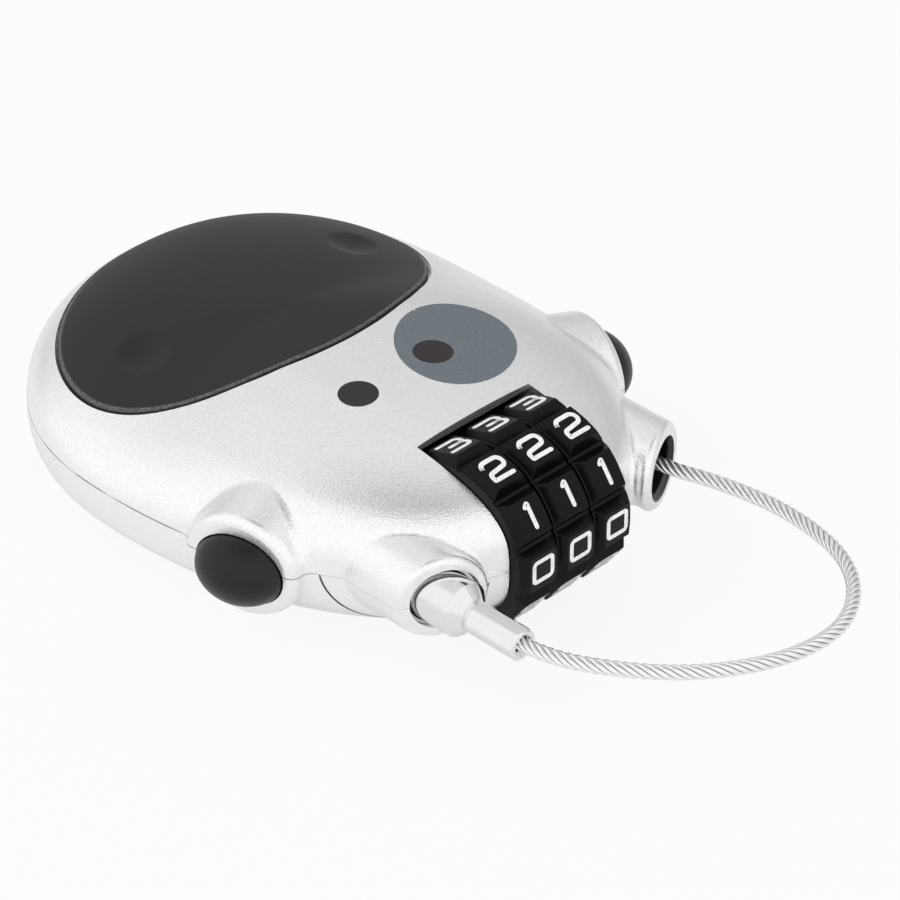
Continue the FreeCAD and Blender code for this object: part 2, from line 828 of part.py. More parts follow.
def cord_tube(route, radius, name):
    """Tube along straight runs joined by tangent arcs; prints its arcs and its volume check."""
    edges = []
    at = route[0]
    radii = []
    for here, corner, there in zip(route, route[1:], route[2:]):
        into = corner - here
        out = there - corner
        turn = into.getAngle(out)
        back = 0.45 * min(into.Length, out.Length)
        radii.append(round(back / math.tan(turn / 2), 1))
        into.normalize()
        out.normalize()
        start = corner - into * back
        end = corner + out * back
        bulge = (into * -1 + out).normalize()
        away = back / math.tan(turn / 2) * (1 / math.cos(turn / 2) - 1)
        edges.append(Part.LineSegment(at, start).toShape())
        edges.append(Part.Arc(start, corner + bulge * away, end).toShape())
        at = end
    edges.append(Part.LineSegment(at, route[-1]).toShape())
    path = Part.Wire(edges)
    ring = Part.Wire(Part.makeCircle(radius, route[0], route[1] - route[0]))
    solid = path.makePipeShell([ring], True, False)
    share = solid.Volume / (math.pi * radius * radius * path.Length)
    print(name, "length", round(path.Length, 1), "arc radii", radii, "volume share", round(share, 4))
    return solid


def make_cable_loop():
    """Free loop of cable from the port to the sleeve."""
    end_y = sleeve_end_y + cable_in_sleeve
    route = [V(x, y, boss_z) for x, y in loop_route]
    route[-1] = V(-boss_x, end_y, boss_z)
    return cord_tube(route, cable_radius, "cable_loop")


def make_cable_lead():
    """Straight cable inside the case, from the port to where it meets the spool."""
    return rod(cable_radius, V(boss_x, lead_front_y, boss_z), V(boss_x, spool_y, boss_z))


# Spool


def around_spool(radius, z0, z1):
    """Cylinder on the spool's axis."""
    return rod(radius, V(0, spool_y, z0), V(0, spool_y, z1))


def make_spool():
    """Drum: lower flange, cup-shaped hub and the bore for the axle."""
    half = spool_half_groove
    drum = around_spool(spool_radius, -half - spool_flange, -half)
    drum = drum.fuse(around_spool(hub_radius, -half, half))
    drum = drum.cut(around_spool(hub_radius - hub_wall, -half, half + 1))
    drum = drum.cut(around_spool(axle_radius + axle_fit, -big, big))
    for step in range(6):
        angle = math.radians(60 * step + 30)
        x = 16.2 * math.cos(angle)
        y = spool_y + 16.2 * math.sin(angle)
        drum = drum.cut(rod(2.6, V(x, y, -big), V(x, y, big)))
    return drum


def make_spool_cover():
    """Upper flange with a spigot that closes the hub."""
    half = spool_half_groove
    cover = around_spool(spool_radius, half, half + cover_thickness)
    cover = cover.fuse(around_spool(hub_radius - hub_wall - 0.1, half - 0.5, half))
    return cover.cut(around_spool(axle_radius + axle_fit, -big, big))


def make_cable_winding():
    """Cable wound on the hub, as one closed ring."""
    half = spool_half_groove - winding_gap
    ring = around_spool(winding_radius, -half, half)
    return ring.cut(around_spool(hub_radius + winding_gap, -half - 1, half + 1))


def make_mainspring():
    """Spiral ribbon in the hub, made of half circles that grow by half a pitch each."""
    half = ribbon_thickness / 2
    height = 2 * spool_half_groove - 1.2
    outward = []
    inward = []
    radius = ribbon_start + half
    for step in range(2 * ribbon_turns):
        side = 1 if step % 2 == 0 else -1
        centre = V(side * ribbon_pitch / 4, 0, 0)
        for line, r in ((outward, radius + half), (inward, radius - half)):
            first = centre - V(side * r, 0, 0)
            last = centre + V(side * r, 0, 0)
            line.append(Part.Arc(first, centre + V(0, side * r, 0), last).toShape())
        radius += ribbon_pitch / 2
    starts = [line[0].valueAt(line[0].FirstParameter) for line in (outward, inward)]
    stops = [line[-1].valueAt(line[-1].LastParameter) for line in (outward, inward)]
    ends = [Part.makeLine(*starts), Part.makeLine(*stops)]
    wire = Part.Wire(Part.__sortEdges__(outward + inward + ends))
    ribbon = Part.Face(wire).extrude(V(0, 0, height))
    last_x = -ribbon_pitch / 4 - (radius - ribbon_pitch / 2)
    hook = block(hub_wall - hub_radius + 0.05, last_x + half, 0, ribbon_thickness, 0, height)
    spiral = joined(ribbon, hook)
    spiral.translate(V(0, spool_y, -spool_half_groove + 0.3))
    return spiral


def make_spool_axle():
    """Fixed steel axle with a groove for its clip."""
    axle = around_spool(axle_radius, axle_bottom_z, axle_top_z)
    groove = around_spool(axle_radius + 1, clip_z - 0.05, clip_z + clip_thickness + 0.05)
    groove = groove.cut(around_spool(axle_radius - clip_groove, -big, big))
    return axle.cut(groove)


def make_spool_clip():
    """Open clip that keeps the spool on its axle."""
    clip = around_spool(clip_radius, clip_z, clip_z + clip_thickness)
    clip = clip.cut(around_spool(axle_radius - clip_groove + 0.03, -big, big))
    mouth = axle_radius - clip_groove - 0.3
    return clip.cut(block(-mouth, mouth, spool_y - clip_radius - 1, spool_y, -big, big))


# Buttons, arm, leaf and lever


def make_button(side):
    """Domed oval button with a retaining flange and a round-ended stem."""
    ball = (button_radius**2 + button_rise**2) / (2 * button_rise)
    dome = Part.makeSphere(ball, V(button_rise - ball, 0, 0))
    dome = dome.common(rod(button_radius, V(0, 0, 0), V(big / 4, 0, 0)))
    body = rod(button_radius, V(-skirt_length - 0.5, 0, 0), V(0, 0, 0))
    flange = rod(flange_radius, V(-skirt_length - flange_thickness, 0, 0), V(-skirt_length, 0, 0))
    stem_end = release_stem if side < 0 else rewind_stem
    stem = rod(stem_radius, V(-stem_end + stem_radius, 0, 0), V(-skirt_length, 0, 0))
    tip = Part.makeSphere(stem_radius, V(-stem_end + stem_radius, 0, 0))
    face = stretched(dome.fuse([body, flange]))
    return at_button(face.fuse([stem, tip]), side)


def make_button_spring(side):
    """Coil between a button's flange and its rib."""
    start = V(-seat_rib + 0.05, 0, 0)
    end = V(-skirt_length - flange_thickness - 0.05, 0, 0)
    return at_button(coil(3.2, 0.22, 3, start, end), side)


def make_release_arm():
    """Pressed steel arm from the left button to the spindle's collar."""
    x1 = arm_x + arm_thickness
    half = arm_half_height
    leg = block(arm_x, x1, -2.8, arm_back_y, -half, half)
    fork = rod(spindle_radius + 0.15, V(arm_x - 1, 0, 0), V(x1 + 1, 0, 0))
    mouth = block(arm_x - 1, x1 + 1, -4, 0, -spindle_radius - 0.15, spindle_radius + 0.15)
    leaf_window = block(arm_x - 1, x1 + 1, 3.6, 4.6, -1.3, 1.3)
    back = block(arm_tab_x, x1, arm_back_y - arm_thickness, arm_back_y, -half, half)
    tab = block(arm_tab_x, arm_tab_x + arm_thickness, arm_tab_y, arm_back_y, -half, half)
    return leg.fuse([back, tab]).cut([fork, mouth, leaf_window])


def make_latch_spring():
    """Leaf with a tongue in the pin's groove and a hook through the release arm."""
    half = leaf_half_height
    x1 = leaf_x + leaf_thickness
    strip = block(leaf_x, x1, 3.9, leaf_back_y, -half, half)
    tongue_tip = -boss_x + pin_radius - groove_depth + 0.1
    tongue = block(tongue_tip, x1, groove_y - 0.45, groove_y + 0.45, -half, half)
    hook = block(leaf_x, arm_x + arm_thickness + 0.5, 3.9, 4.3, -1.0, 1.0)
    head = block(arm_x + arm_thickness + 0.15, arm_x + arm_thickness + 0.5, 3.9, 4.3, -half - 0.2, half + 0.2)
    hole = rod(0.7, V(leaf_x - 1, 13.4, 0), V(x1 + 1, 13.4, 0))
    return strip.fuse([tongue, hook, head]).cut(hole)


def make_spindle_spring():
    """Small coil that returns the spindle, between its end and the port's tube."""
    return coil(1.3, 0.2, 3, V(spindle_right + 0.05, 0, 0), V(boss_x - tube_radius - 0.1, 0, 0))


def lever_bar(x0, y0, x1, y1):
    """Straight bar of the brake lever between two points in plan."""
    way = V(x1 - x0, y1 - y0, 0)
    bar = block(0, way.Length, -lever_arm_half, lever_arm_half, 0, lever_thickness)
    bar.rotate(V(0, 0, 0), V(0, 0, 1), math.degrees(math.atan2(way.y, way.x)))
    bar.translate(V(x0, y0, lever_bottom_z))
    return bar


def make_brake_lever():
    """Lever on a pin: a tab at the button's stem and a shoe at the spool's rim."""
    top = lever_bottom_z + lever_thickness
    hub = rod(lever_hub, V(lever_x, lever_y, lever_bottom_z), V(lever_x, lever_y, top))
    shoe = rod(shoe_radius, V(shoe_x, shoe_y, lever_bottom_z), V(shoe_x, shoe_y, top))
    tab = block(tab_x, tab_x + tab_thickness, tab_y - 1.8, tab_y + 1.8, lever_bottom_z, tab_top_z)
    lever = hub.fuse([
        shoe,
        tab,
        lever_bar(lever_x, lever_y, shoe_x, shoe_y),
        lever_bar(lever_x, lever_y, tab_x + tab_thickness, tab_y + 0.6),
    ])
    lever = lever.cut(block(-big, tab_x, -big, tab_y + 4, -big, big))
    lever = lever.cut(around_spool(spool_radius + shoe_gap, -big, big))
    return lever.cut(rod(lever_pin + 0.05, V(lever_x, lever_y, -big), V(lever_x, lever_y, big)))


def make_lever_pin():
    """Pin that the brake lever swings on."""
    head_z = lever_bottom_z + lever_thickness + 0.1
    shank = rod(lever_pin, V(lever_x, lever_y, -6.4), V(lever_x, lever_y, head_z + 0.6))
    head = rod(lever_pin + 0.8, V(lever_x, lever_y, head_z), V(lever_x, lever_y, head_z + 0.6))
    return shank.fuse(head)


def make_brake_spring():
    """Coil that pushes the brake shoe towards the spool."""
    z = lever_bottom_z + lever_thickness / 2
    start = shoe_x + shoe_radius + 0.05
    return coil(0.85, 0.15, 4, V(start, shoe_y, z), V(brake_rib_x - 0.05, shoe_y, z))


def make_case_screws():
    """Screws that hold the halves together."""
    screws = []
    for x, y in screw_places:
        head_z = screw_seat_z - screw_head_height
        head = rod(screw_head_radius, V(x, y, head_z), V(x, y, screw_seat_z))
        shank = rod(screw_radius, V(x, y, screw_seat_z - 0.5), V(x, y, screw_top_z))
        cross = block(x - 1.2, x + 1.2, y - 0.25, y + 0.25, head_z - 1, head_z + 0.7)
        cross = cross.fuse(block(x - 0.25, x + 0.25, y - 1.2, y + 1.2, head_z - 1, head_z + 0.7))
        screws.append(head.fuse(shank).cut(cross))
    return Part.makeCompound(screws)


def write(name, shape):
    """Set a piece on the table and write its file."""
    placed = shape.copy()
    placed.translate(V(0, -mid_y, base_depth))
    solids = placed.Solids
    print(name, "solids", len(solids), "valid", placed.isValid(), "volume", round(placed.Volume, 1))
    result = solids[0] if len(solids) == 1 else Part.makeCompound(solids)
    result.exportStep(os.path.join("parts", name + ".step"))


def main():
    os.makedirs("parts", exist_ok=True)
    left = case_half()
    body = left.fuse(left.mirror(V(0, 0, 0), V(1, 0, 0)))
    write("top_shell", make_top_shell(body))
    write("bottom_shell", make_bottom_shell(body))
    write("grip_pad", make_grip_pad())
    for index, side in enumerate(("left", "middle", "right")):
        write("dial_" + side, make_dial(index))
        write("tumbler_" + side, make_tumbler(index))
    write("dial_washers", make_dial_washers())
    write("code_spindle", make_code_spindle())
    write("spindle_spring", make_spindle_spring())
    write("dial_shroud", make_dial_shroud())
    write("detent_spring", make_detent_spring())
    write("socket_bush", make_socket_bush())
    write("port_bush", make_port_bush())
    write("cable_guide", make_cable_guide())
    write("lock_pin", make_lock_pin())
    write("crimp_sleeve", make_crimp_sleeve())
    write("cable_loop", make_cable_loop())
    write("cable_lead", make_cable_lead())
    write("cable_winding", make_cable_winding())
    write("spool", make_spool())
    write("spool_cover", make_spool_cover())
    write("mainspring", make_mainspring())
    write("spool_axle", make_spool_axle())
    write("spool_clip", make_spool_clip())
    write("release_button", make_button(-1))
    write("rewind_button", make_button(1))
    write("release_spring", make_button_spring(-1))
    write("rewind_spring", make_button_spring(1))
    write("release_arm", make_release_arm())
    write("latch_spring", make_latch_spring())
    write("brake_lever", make_brake_lever())
    write("lever_pin", make_lever_pin())
    write("brake_spring", make_brake_spring())
    write("case_screws", make_case_screws())


main()
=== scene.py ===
"""Laptop cable lock with number dials, dressed around its packed model."""

import math

import bmesh
import bpy
import numpy as np
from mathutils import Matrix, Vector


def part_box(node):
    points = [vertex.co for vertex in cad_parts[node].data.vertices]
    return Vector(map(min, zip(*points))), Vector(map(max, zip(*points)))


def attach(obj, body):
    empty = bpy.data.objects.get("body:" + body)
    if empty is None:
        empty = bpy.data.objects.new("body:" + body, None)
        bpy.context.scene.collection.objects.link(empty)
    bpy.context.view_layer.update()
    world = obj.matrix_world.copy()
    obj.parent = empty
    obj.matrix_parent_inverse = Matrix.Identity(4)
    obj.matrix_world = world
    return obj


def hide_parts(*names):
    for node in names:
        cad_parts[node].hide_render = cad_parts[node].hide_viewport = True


for startup_name in ("Cube", "Light", "Camera"):
    startup_object = bpy.data.objects.get(startup_name)
    if startup_object:
        bpy.data.objects.remove(startup_object)

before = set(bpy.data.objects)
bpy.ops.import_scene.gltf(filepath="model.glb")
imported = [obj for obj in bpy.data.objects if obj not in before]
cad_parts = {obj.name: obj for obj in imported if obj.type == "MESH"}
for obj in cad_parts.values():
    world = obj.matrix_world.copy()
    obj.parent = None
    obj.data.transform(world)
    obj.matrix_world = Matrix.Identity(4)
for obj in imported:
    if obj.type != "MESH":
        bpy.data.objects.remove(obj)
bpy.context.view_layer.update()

bl_info = {
    "name": "Laptop Cable Lock",
    "version": (1, 0, 0),
    "blender": (4, 5, 0),
    "location": "View3D > Sidebar > Cable Lock",
    "description": "Dresses the packed cable lock: steel rope, number wheels, grip pad and finishes",
    "category": "Object",
}

MM = 0.001
MERGE = 1e-6
TURN = 2 * math.pi


def dial_axle():
    """Middle of the dial axle: the centre of the middle dial's box."""
    low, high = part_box("dial_middle")
    return np.array((low + high) / 2)


AXLE = dial_axle()


def linear(hex_colour):
    """Linear light of an sRGB hex colour."""
    value = np.array([int(hex_colour[at : at + 2], 16) for at in (1, 3, 5)]) / 255
    light = np.where(value <= 0.04045, value / 12.92, ((value + 0.055) / 1.055) ** 2.4)
    return tuple(light.tolist())


def size(name, description, default):
    """Length property in metres, given in millimetres."""
    return bpy.props.FloatProperty(
        name=name, description=description, default=default * MM, unit="LENGTH", precision=5
    )


def number(name, description, default):
    """Plain number property."""
    return bpy.props.FloatProperty(name=name, description=description, default=default)


def colour(name, description, default):
    """Colour property from an sRGB hex value."""
    return bpy.props.FloatVectorProperty(
        name=name, description=description, default=linear(default), subtype="COLOR", min=0, max=1
    )


class StageSettings(bpy.types.PropertyGroup):
    """Camera, floor and lights."""

    turn: number("Camera turn", "Degrees that the camera stands to the left of the front", 45.037)
    height: number("Camera height", "Degrees above the floor", 34.794)
    distance: size("Camera distance", "From the aim point to the lens", 517.0)
    focal: number("Focal length", "Millimetres on a 36 mm wide sensor", 175.86)
    floor_tone: colour("Floor", "Pale paper under the lock", "#f4f4f4")


class CableSettings(bpy.types.PropertyGroup):
    """Steel rope and its route."""

    diameter: size("Diameter", "Over the six outer strands", 1.8)
    length: size("Free length", "From inside the port to inside the sleeve", 92.0)
    lay: size("Lay", "Length in which a strand turns once round the rope", 6.6)
    strands: bpy.props.IntProperty(name="Strands", description="Outer strands round the core", default=6)
    height: size("Height", "Of the rope's middle above the floor", 11.8)
    steel: colour("Steel", "Drawn stainless wire", "#fafaf9")
    # painted shade: colour of the strands' sides that face each other and the core
    groove_shade: colour("Groove", "Shade between the strands", "#4c4c4b")


class DialSettings(bpy.types.PropertyGroup):
    """Number wheels and their digits."""

    pitch: size("Pitch", "From one dial to the next", 6.22)
    face: size("Face distance", "From the axle to a number's face", 11.0)
    edge: size("Edge round", "Rounding of the wheel's edges", 0.11)
    stroke: size("Stroke", "Width of a digit's line", 0.6)
    rise: size("Ink rise", "Height of a digit's paint above its face", 0.035)
    lift: size("Digit lift", "Shift of the digits along their face", 0.15)
    plastic: colour("Plastic", "Black ABS", "#0c0c0d")
    ink: colour("Digits", "White paint", "#fefefd")


class CaseSettings(bpy.types.PropertyGroup):
    """Shape of the crown and the looks of the case."""

    half_width: size("Half width", "Of the egg outline", 31.8)
    widest: size("Widest place", "Its distance behind the dial axle", 37.6)
    rear: size("Rear reach", "Of the egg outline behind its widest place", 31.4)
    front: size("Front reach", "Of the egg outline before its widest place", 47.7)
    crown: size("Crown height", "Above the parting plane", 11.48)
    rear_square: number("Rear squareness", "Exponent of the outline behind the widest place", 2.19)
    front_square: number("Front squareness", "Exponent of the outline before the widest place", 2.14)
    side_round: number("Side fullness", "Exponent of the section across", 1.7)
    rear_round: number("Rear fullness", "Exponent of the section towards the rear", 2.93)
    front_round: number("Front fullness", "Exponent of the section towards the front", 3.31)
    lacquer: colour("Lacquer", "Aluminium flake", "#fcfcfc")
    line: colour("Parting line", "Shade in the joint of the halves", "#5e5e5e")


class PadSettings(bpy.types.PropertyGroup):
    """Soft grip pad in the crown."""

    middle: size("Middle", "Its distance behind the dial axle", 45.2)
    half_width: size("Half width", "Across", 25.8)
    front: size("Front reach", "From its middle forwards", 17.5)
    rear: size("Rear reach", "From its middle backwards", 20.2)
    front_square: number("Front squareness", "Exponent of the outline before its middle", 1.96)
    rear_square: number("Rear squareness", "Exponent of the outline behind its middle", 2.0)
    rise: size("Rise", "Above the crown", 0.2)
    shoulder: size("Shoulder width", "Of the rounding of its rim", 0.8)
    edge: size("Shoulder drop", "Of the rounding of its rim", 0.45)
    dimple_x: size("Dimple place", "Distance from the middle plane", 17.4)
    dimple_y: size("Dimple distance", "Behind the dial axle", 45.0)
    dimple: size("Dimple radius", "Of each finger dimple", 3.4)
    depth: size("Dimple depth", "Of each finger dimple", 0.7)
    rubber: colour("Rubber", "Charcoal elastomer", "#141415")


class MarkSettings(bpy.types.PropertyGroup):
    """Printed dots and oval on the crown."""

    dots: size("Dots' middle", "Its distance to the left of the middle plane", 1.2)
    dot_x: size("Dot place", "Distance from the dots' middle", 6.2)
    dot_y: size("Dot distance", "Behind the dial axle", 18.3)
    dot: size("Dot radius", "Of both dots", 2.45)
    oval_x: size("Oval place", "Distance to the right of the middle plane", 8.8)
    oval_y: size("Oval distance", "Behind the dial axle", 18.3)
    oval_width: size("Oval half width", "Across its length", 7.4)
    oval_length: size("Oval half length", "Along the line from the front left to the rear right", 9.2)
    oval_turn: number("Oval turn", "Degrees from the rear towards the right", 45.0)
    ink: size("Ink rise", "Height of the print above the lacquer", 0.03)
    dark: colour("Dots", "Dark print", "#2e2b2c")
    slate: colour("Oval", "Slate print", "#6b757c")


GROUPS = {
    "lock_stage": StageSettings,
    "lock_cable": CableSettings,
    "lock_dials": DialSettings,
    "lock_case": CaseSettings,
    "lock_pad": PadSettings,
    "lock_marks": MarkSettings,
}


# Meshes


def grid_quads(rows, columns, loop_rows=False):
    """Quads of a grid of points whose columns close on themselves; rows may close too."""
    row = np.arange(rows if loop_rows else rows - 1)[:, None]
    column = np.arange(columns)[None, :]
    next_row = (row + 1) % rows
    next_column = (column + 1) % columns
    corners = [
        row * columns + column,
        row * columns + next_column,
        next_row * columns + next_column,
        next_row * columns + column,
    ]
    return np.stack(corners, axis=-1).reshape(-1, 4)


def bare_mesh(name, points, faces):
    """Mesh from arrays of points and of faces that all have the same number of corners."""
    mesh = bpy.data.meshes.new(name)
    mesh.vertices.add(len(points))
    mesh.vertices.foreach_set("co", np.ascontiguousarray(points, dtype=np.float32).ravel())
    mesh.loops.add(faces.size)
    mesh.loops.foreach_set("vertex_index", np.ascontiguousarray(faces, dtype=np.int32).ravel())
    mesh.polygons.add(len(faces))
    starts = np.arange(0, faces.size, faces.shape[1], dtype=np.int32)
    mesh.polygons.foreach_set("loop_start", starts)
    mesh.update(calc_edges=True)
    return mesh


def closed_up(mesh, crease, flat=None):
    """Merges doubles, turns the faces outward and shades smooth up to the crease angle."""
    shape = bmesh.new()
    shape.from_mesh(mesh)
    bmesh.ops.remove_doubles(shape, verts=shape.verts, dist=MERGE)
    if flat:
        bmesh.ops.dissolve_limit(
            shape, angle_limit=math.radians(flat), verts=shape.verts, edges=shape.edges
        )
    bmesh.ops.recalc_face_normals(shape, faces=shape.faces)
    shape.to_mesh(mesh)
    shape.free()
    mesh.shade_smooth()
    mesh.set_sharp_from_angle(angle=math.radians(crease))


def place(name, mesh, body, material):
    """Object for a finished mesh, riding on its body with its slot and material."""
    piece = bpy.data.objects.new(name, mesh)
    bpy.context.scene.collection.objects.link(piece)
    mesh.materials.clear()
    mesh.materials.append(material)
    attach(piece, body)
    return piece


# Shader nodes


def add(tree, kind, inputs=None, **options):
    """Adds a node with its options; inputs are numbers, colours or the sockets that feed them."""
    made = tree.nodes.new(kind)
    for key, value in options.items():
        setattr(made, key, value)
    for key, value in (inputs or {}).items():
        socket = made.inputs[key]
        if isinstance(value, bpy.types.NodeSocket):
            tree.links.new(value, socket)
        elif hasattr(socket.default_value, "__len__") and len(value) < len(socket.default_value):
            socket.default_value = (*value, 1.0)
        else:
            socket.default_value = value
    return made


def finish(name, **inputs):
    """Material with one Principled shader, whose inputs are given by name."""
    material = bpy.data.materials.new(name)
    material.use_nodes = True
    tree = material.node_tree
    tree.nodes.clear()
    shader = add(tree, "ShaderNodeBsdfPrincipled", inputs)
    add(tree, "ShaderNodeOutputMaterial", {"Surface": shader.outputs[0]})
    return material, tree, shader


def object_place(tree):
    """Socket with the place on the object in metres."""
    return add(tree, "ShaderNodeTexCoord").outputs["Object"]


def feed(tree, shader, **sources):
    """Links sockets to the shader's inputs; an underscore stands for a space."""
    for key, source in sources.items():
        tree.links.new(source, shader.inputs[key.replace("_", " ")])


def silver_lacquer(case):
    """Aluminium-flake lacquer on moulded ABS: satin, with a faint orange peel and single glints."""
    material, tree, shader = finish("flake lacquer on ABS", Metallic=0.88, Roughness=0.27)
    shader.inputs["Coat Weight"].default_value = 0.12
    shader.inputs["Coat Roughness"].default_value = 0.22
    where = object_place(tree)
    # flakes of 0.22 mm, far coarser than the real ones, so that they show
    flakes = add(tree, "ShaderNodeTexVoronoi", {"Vector": where, "Scale": 1 / (0.22 * MM)})
    bright = add(tree, "ShaderNodeMapRange", {
        "Value": flakes.outputs["Color"], "To Min": 0.94, "To Max": 1.06,
    })
    tone = add(tree, "ShaderNodeMix", {
        "Factor": 1.0, "A": (*case.lacquer, 1.0), "B": bright.outputs[0],
    }, data_type="RGBA", blend_type="MULTIPLY")
    place_on = add(tree, "ShaderNodeSeparateXYZ", {"Vector": where}).outputs
    # the joint is 0.07 mm wide on both sides of the parting plane
    off_line = add(tree, "ShaderNodeMath", {0: place_on["Z"], 1: float(AXLE[2])}, operation="SUBTRACT")
    off_line = add(tree, "ShaderNodeMath", {0: off_line.outputs[0]}, operation="ABSOLUTE")
    joint = add(tree, "ShaderNodeMapRange", {
        "Value": off_line.outputs[0], "From Min": 0.03 * MM, "From Max": 0.11 * MM,
    })
    # at the front the halves meet so closely that the joint hardly shows
    tight = add(tree, "ShaderNodeMapRange", {
        "Value": place_on["Y"], "From Min": float(AXLE[1]) + 6 * MM, "From Max": float(AXLE[1]) + 10 * MM,
        "To Min": 0.85, "To Max": 0.0,
    })
    joint = add(tree, "ShaderNodeMath", {0: joint.outputs[0], 1: tight.outputs[0]}, operation="MAXIMUM")
    # the lacquer closes the joint here and there, in stretches of about 4 mm
    filled = add(tree, "ShaderNodeTexNoise", {"Vector": where, "Scale": 1 / (4 * MM), "Detail": 3.0})
    filled = add(tree, "ShaderNodeMapRange", {
        "Value": filled.outputs["Fac"], "From Min": 0.42, "From Max": 0.58, "To Max": 0.8,
    })
    joint = add(tree, "ShaderNodeMath", {0: joint.outputs[0], 1: filled.outputs[0]}, operation="MAXIMUM")
    painted = add(tree, "ShaderNodeMix", {
        "Factor": joint.outputs[0], "A": (*case.line, 1.0), "B": tone.outputs["Result"],
    }, data_type="RGBA")
    # orange peel with waves of about 0.25 mm, and the flakes' own relief
    peel = add(tree, "ShaderNodeTexNoise", {"Vector": where, "Scale": 1 / (0.25 * MM), "Detail": 2.0})
    relief = add(tree, "ShaderNodeBump", {
        "Strength": 0.6, "Distance": 0.075 * MM, "Height": peel.outputs["Fac"],
    })
    grain = add(tree, "ShaderNodeBump", {
        "Strength": 0.25, "Distance": 0.03 * MM, "Height": flakes.outputs["Color"],
        "Normal": relief.outputs[0],
    })
    feed(tree, shader, Base_Color=painted.outputs["Result"], Normal=grain.outputs[0])
    return material


def grip_rubber(pad):
    """Moulded thermoplastic elastomer: matt, with a fine even texture from a spark-eroded mould, and a
    painted highlight on its rounded rim.
    """
    material, tree, shader = finish("charcoal elastomer", Roughness=0.55)
    shader.inputs["Sheen Weight"].default_value = 0.05
    shader.inputs["Sheen Roughness"].default_value = 0.5
    shader.inputs["Specular IOR Level"].default_value = 0.45
    where = object_place(tree)
    # the tone drifts a little over clouds of 6 mm
    cloud = add(tree, "ShaderNodeTexNoise", {"Vector": where, "Scale": 1 / (6 * MM), "Detail": 3.0})
    tone = add(tree, "ShaderNodeMix", {
        "Factor": cloud.outputs["Fac"], "A": (*pad.rubber, 1.0), "B": (*linear("#19191a"), 1.0),
    }, data_type="RGBA")
    # texture of 0.25 mm
    skin = add(tree, "ShaderNodeTexNoise", {"Vector": where, "Scale": 1 / (0.25 * MM), "Detail": 2.0})
    relief = add(tree, "ShaderNodeBump", {
        "Strength": 0.4, "Distance": 0.04 * MM, "Height": skin.outputs["Fac"],
    })
    # painted highlight on the shoulder: a paler band with specks round the rim, between an inner fold and
    # a foot that both keep the rubber's tone
    shoulder = add(tree, "ShaderNodeAttribute", attribute_name="shoulder").outputs["Fac"]
    specks = add(tree, "ShaderNodeMapRange", {
        "Value": skin.outputs["Fac"], "From Min": 0.35, "From Max": 0.65, "To Min": 0.2, "To Max": 1.0,
    })
    rim_highlight = add(tree, "ShaderNodeMapRange", {"Value": shoulder, "From Min": 0.3, "From Max": 0.5})
    foot = add(tree, "ShaderNodeMapRange", {
        "Value": shoulder, "From Min": 0.8, "From Max": 0.95, "To Min": 1.0, "To Max": 0.0,
    })
    for share in (foot, specks):
        rim_highlight = add(tree, "ShaderNodeMath", {0: rim_highlight.outputs[0], 1: share.outputs[0]},
                     operation="MULTIPLY")
    tone = add(tree, "ShaderNodeMix", {
        "Factor": rim_highlight.outputs[0], "A": tone.outputs["Result"], "B": (*linear("#6c6c6e"), 1.0),
    }, data_type="RGBA")
    rough = add(tree, "ShaderNodeMapRange", {
        "Value": skin.outputs["Fac"], "To Min": 0.5, "To Max": 0.66,
    })
    feed(tree, shader, Base_Color=tone.outputs["Result"], Normal=relief.outputs[0],
         Roughness=rough.outputs[0])
    return material


def grained_plastic(name, tone, rough, grain, depth, stretch=(1.0, 1.0, 1.0), gloss=0.5):
    """Moulded plastic: a noise grain of the given size and depth in metres, drawn out by the
    stretch, shades the tone by 15 per cent and the roughness by 0.05."""
    material, tree, shader = finish(name, Roughness=rough)
    shader.inputs["Specular IOR Level"].default_value = gloss
    where = add(tree, "ShaderNodeMapping", {"Vector": object_place(tree), "Scale": stretch})
    skin = add(tree, "ShaderNodeTexNoise", {
        "Vector": where.outputs[0], "Scale": 1 / grain, "Detail": 2.0,
    })
    shade = add(tree, "ShaderNodeMapRange", {
        "Value": skin.outputs["Fac"], "From Min": 0.3, "From Max": 0.7, "To Min": 0.85, "To Max": 1.15,
    })
    mixed = add(tree, "ShaderNodeMix", {
        "Factor": 1.0, "A": (*tone, 1.0), "B": shade.outputs[0],
    }, data_type="RGBA", blend_type="MULTIPLY")
    relief = add(tree, "ShaderNodeBump", {
        "Strength": 1.0, "Distance": depth, "Height": skin.outputs["Fac"],
    })
    uneven = add(tree, "ShaderNodeMapRange", {
        "Value": skin.outputs["Fac"], "From Min": 0.3, "From Max": 0.7,
        "To Min": rough - 0.05, "To Max": rough + 0.05,
    })
    feed(tree, shader, Base_Color=mixed.outputs["Result"], Normal=relief.outputs[0],
         Roughness=uneven.outputs[0])
    return material


def port_plastic():
    """Black nylon whose first half millimetre at the mouth has caught the silver lacquer."""
    material = grained_plastic(
        "lacquered nylon mouth", linear("#1b1b1c"), 0.45, 0.3 * MM, 0.0024 * MM, gloss=0.3
    )
    tree = material.node_tree
    shader = next(node for node in tree.nodes if node.type == "BSDF_PRINCIPLED")
    low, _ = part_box("port_bush")
    depth = add(tree, "ShaderNodeSeparateXYZ", {"Vector": object_place(tree)}).outputs["Y"]
    # the lacquer fades out between 0.45 and 0.6 mm inside the mouth
    bare = add(tree, "ShaderNodeMapRange", {
        "Value": depth, "From Min": low.y + 0.45 * MM, "From Max": low.y + 0.6 * MM,
    })
    plain = shader.inputs["Base Color"].links[0].from_socket
    tone = add(tree, "ShaderNodeMix", {
        "Factor": bare.outputs[0], "A": (*linear("#c4c4c3"), 1.0), "B": plain,
    }, data_type="RGBA")
    feed(tree, shader, Base_Color=tone.outputs["Result"])
    return material


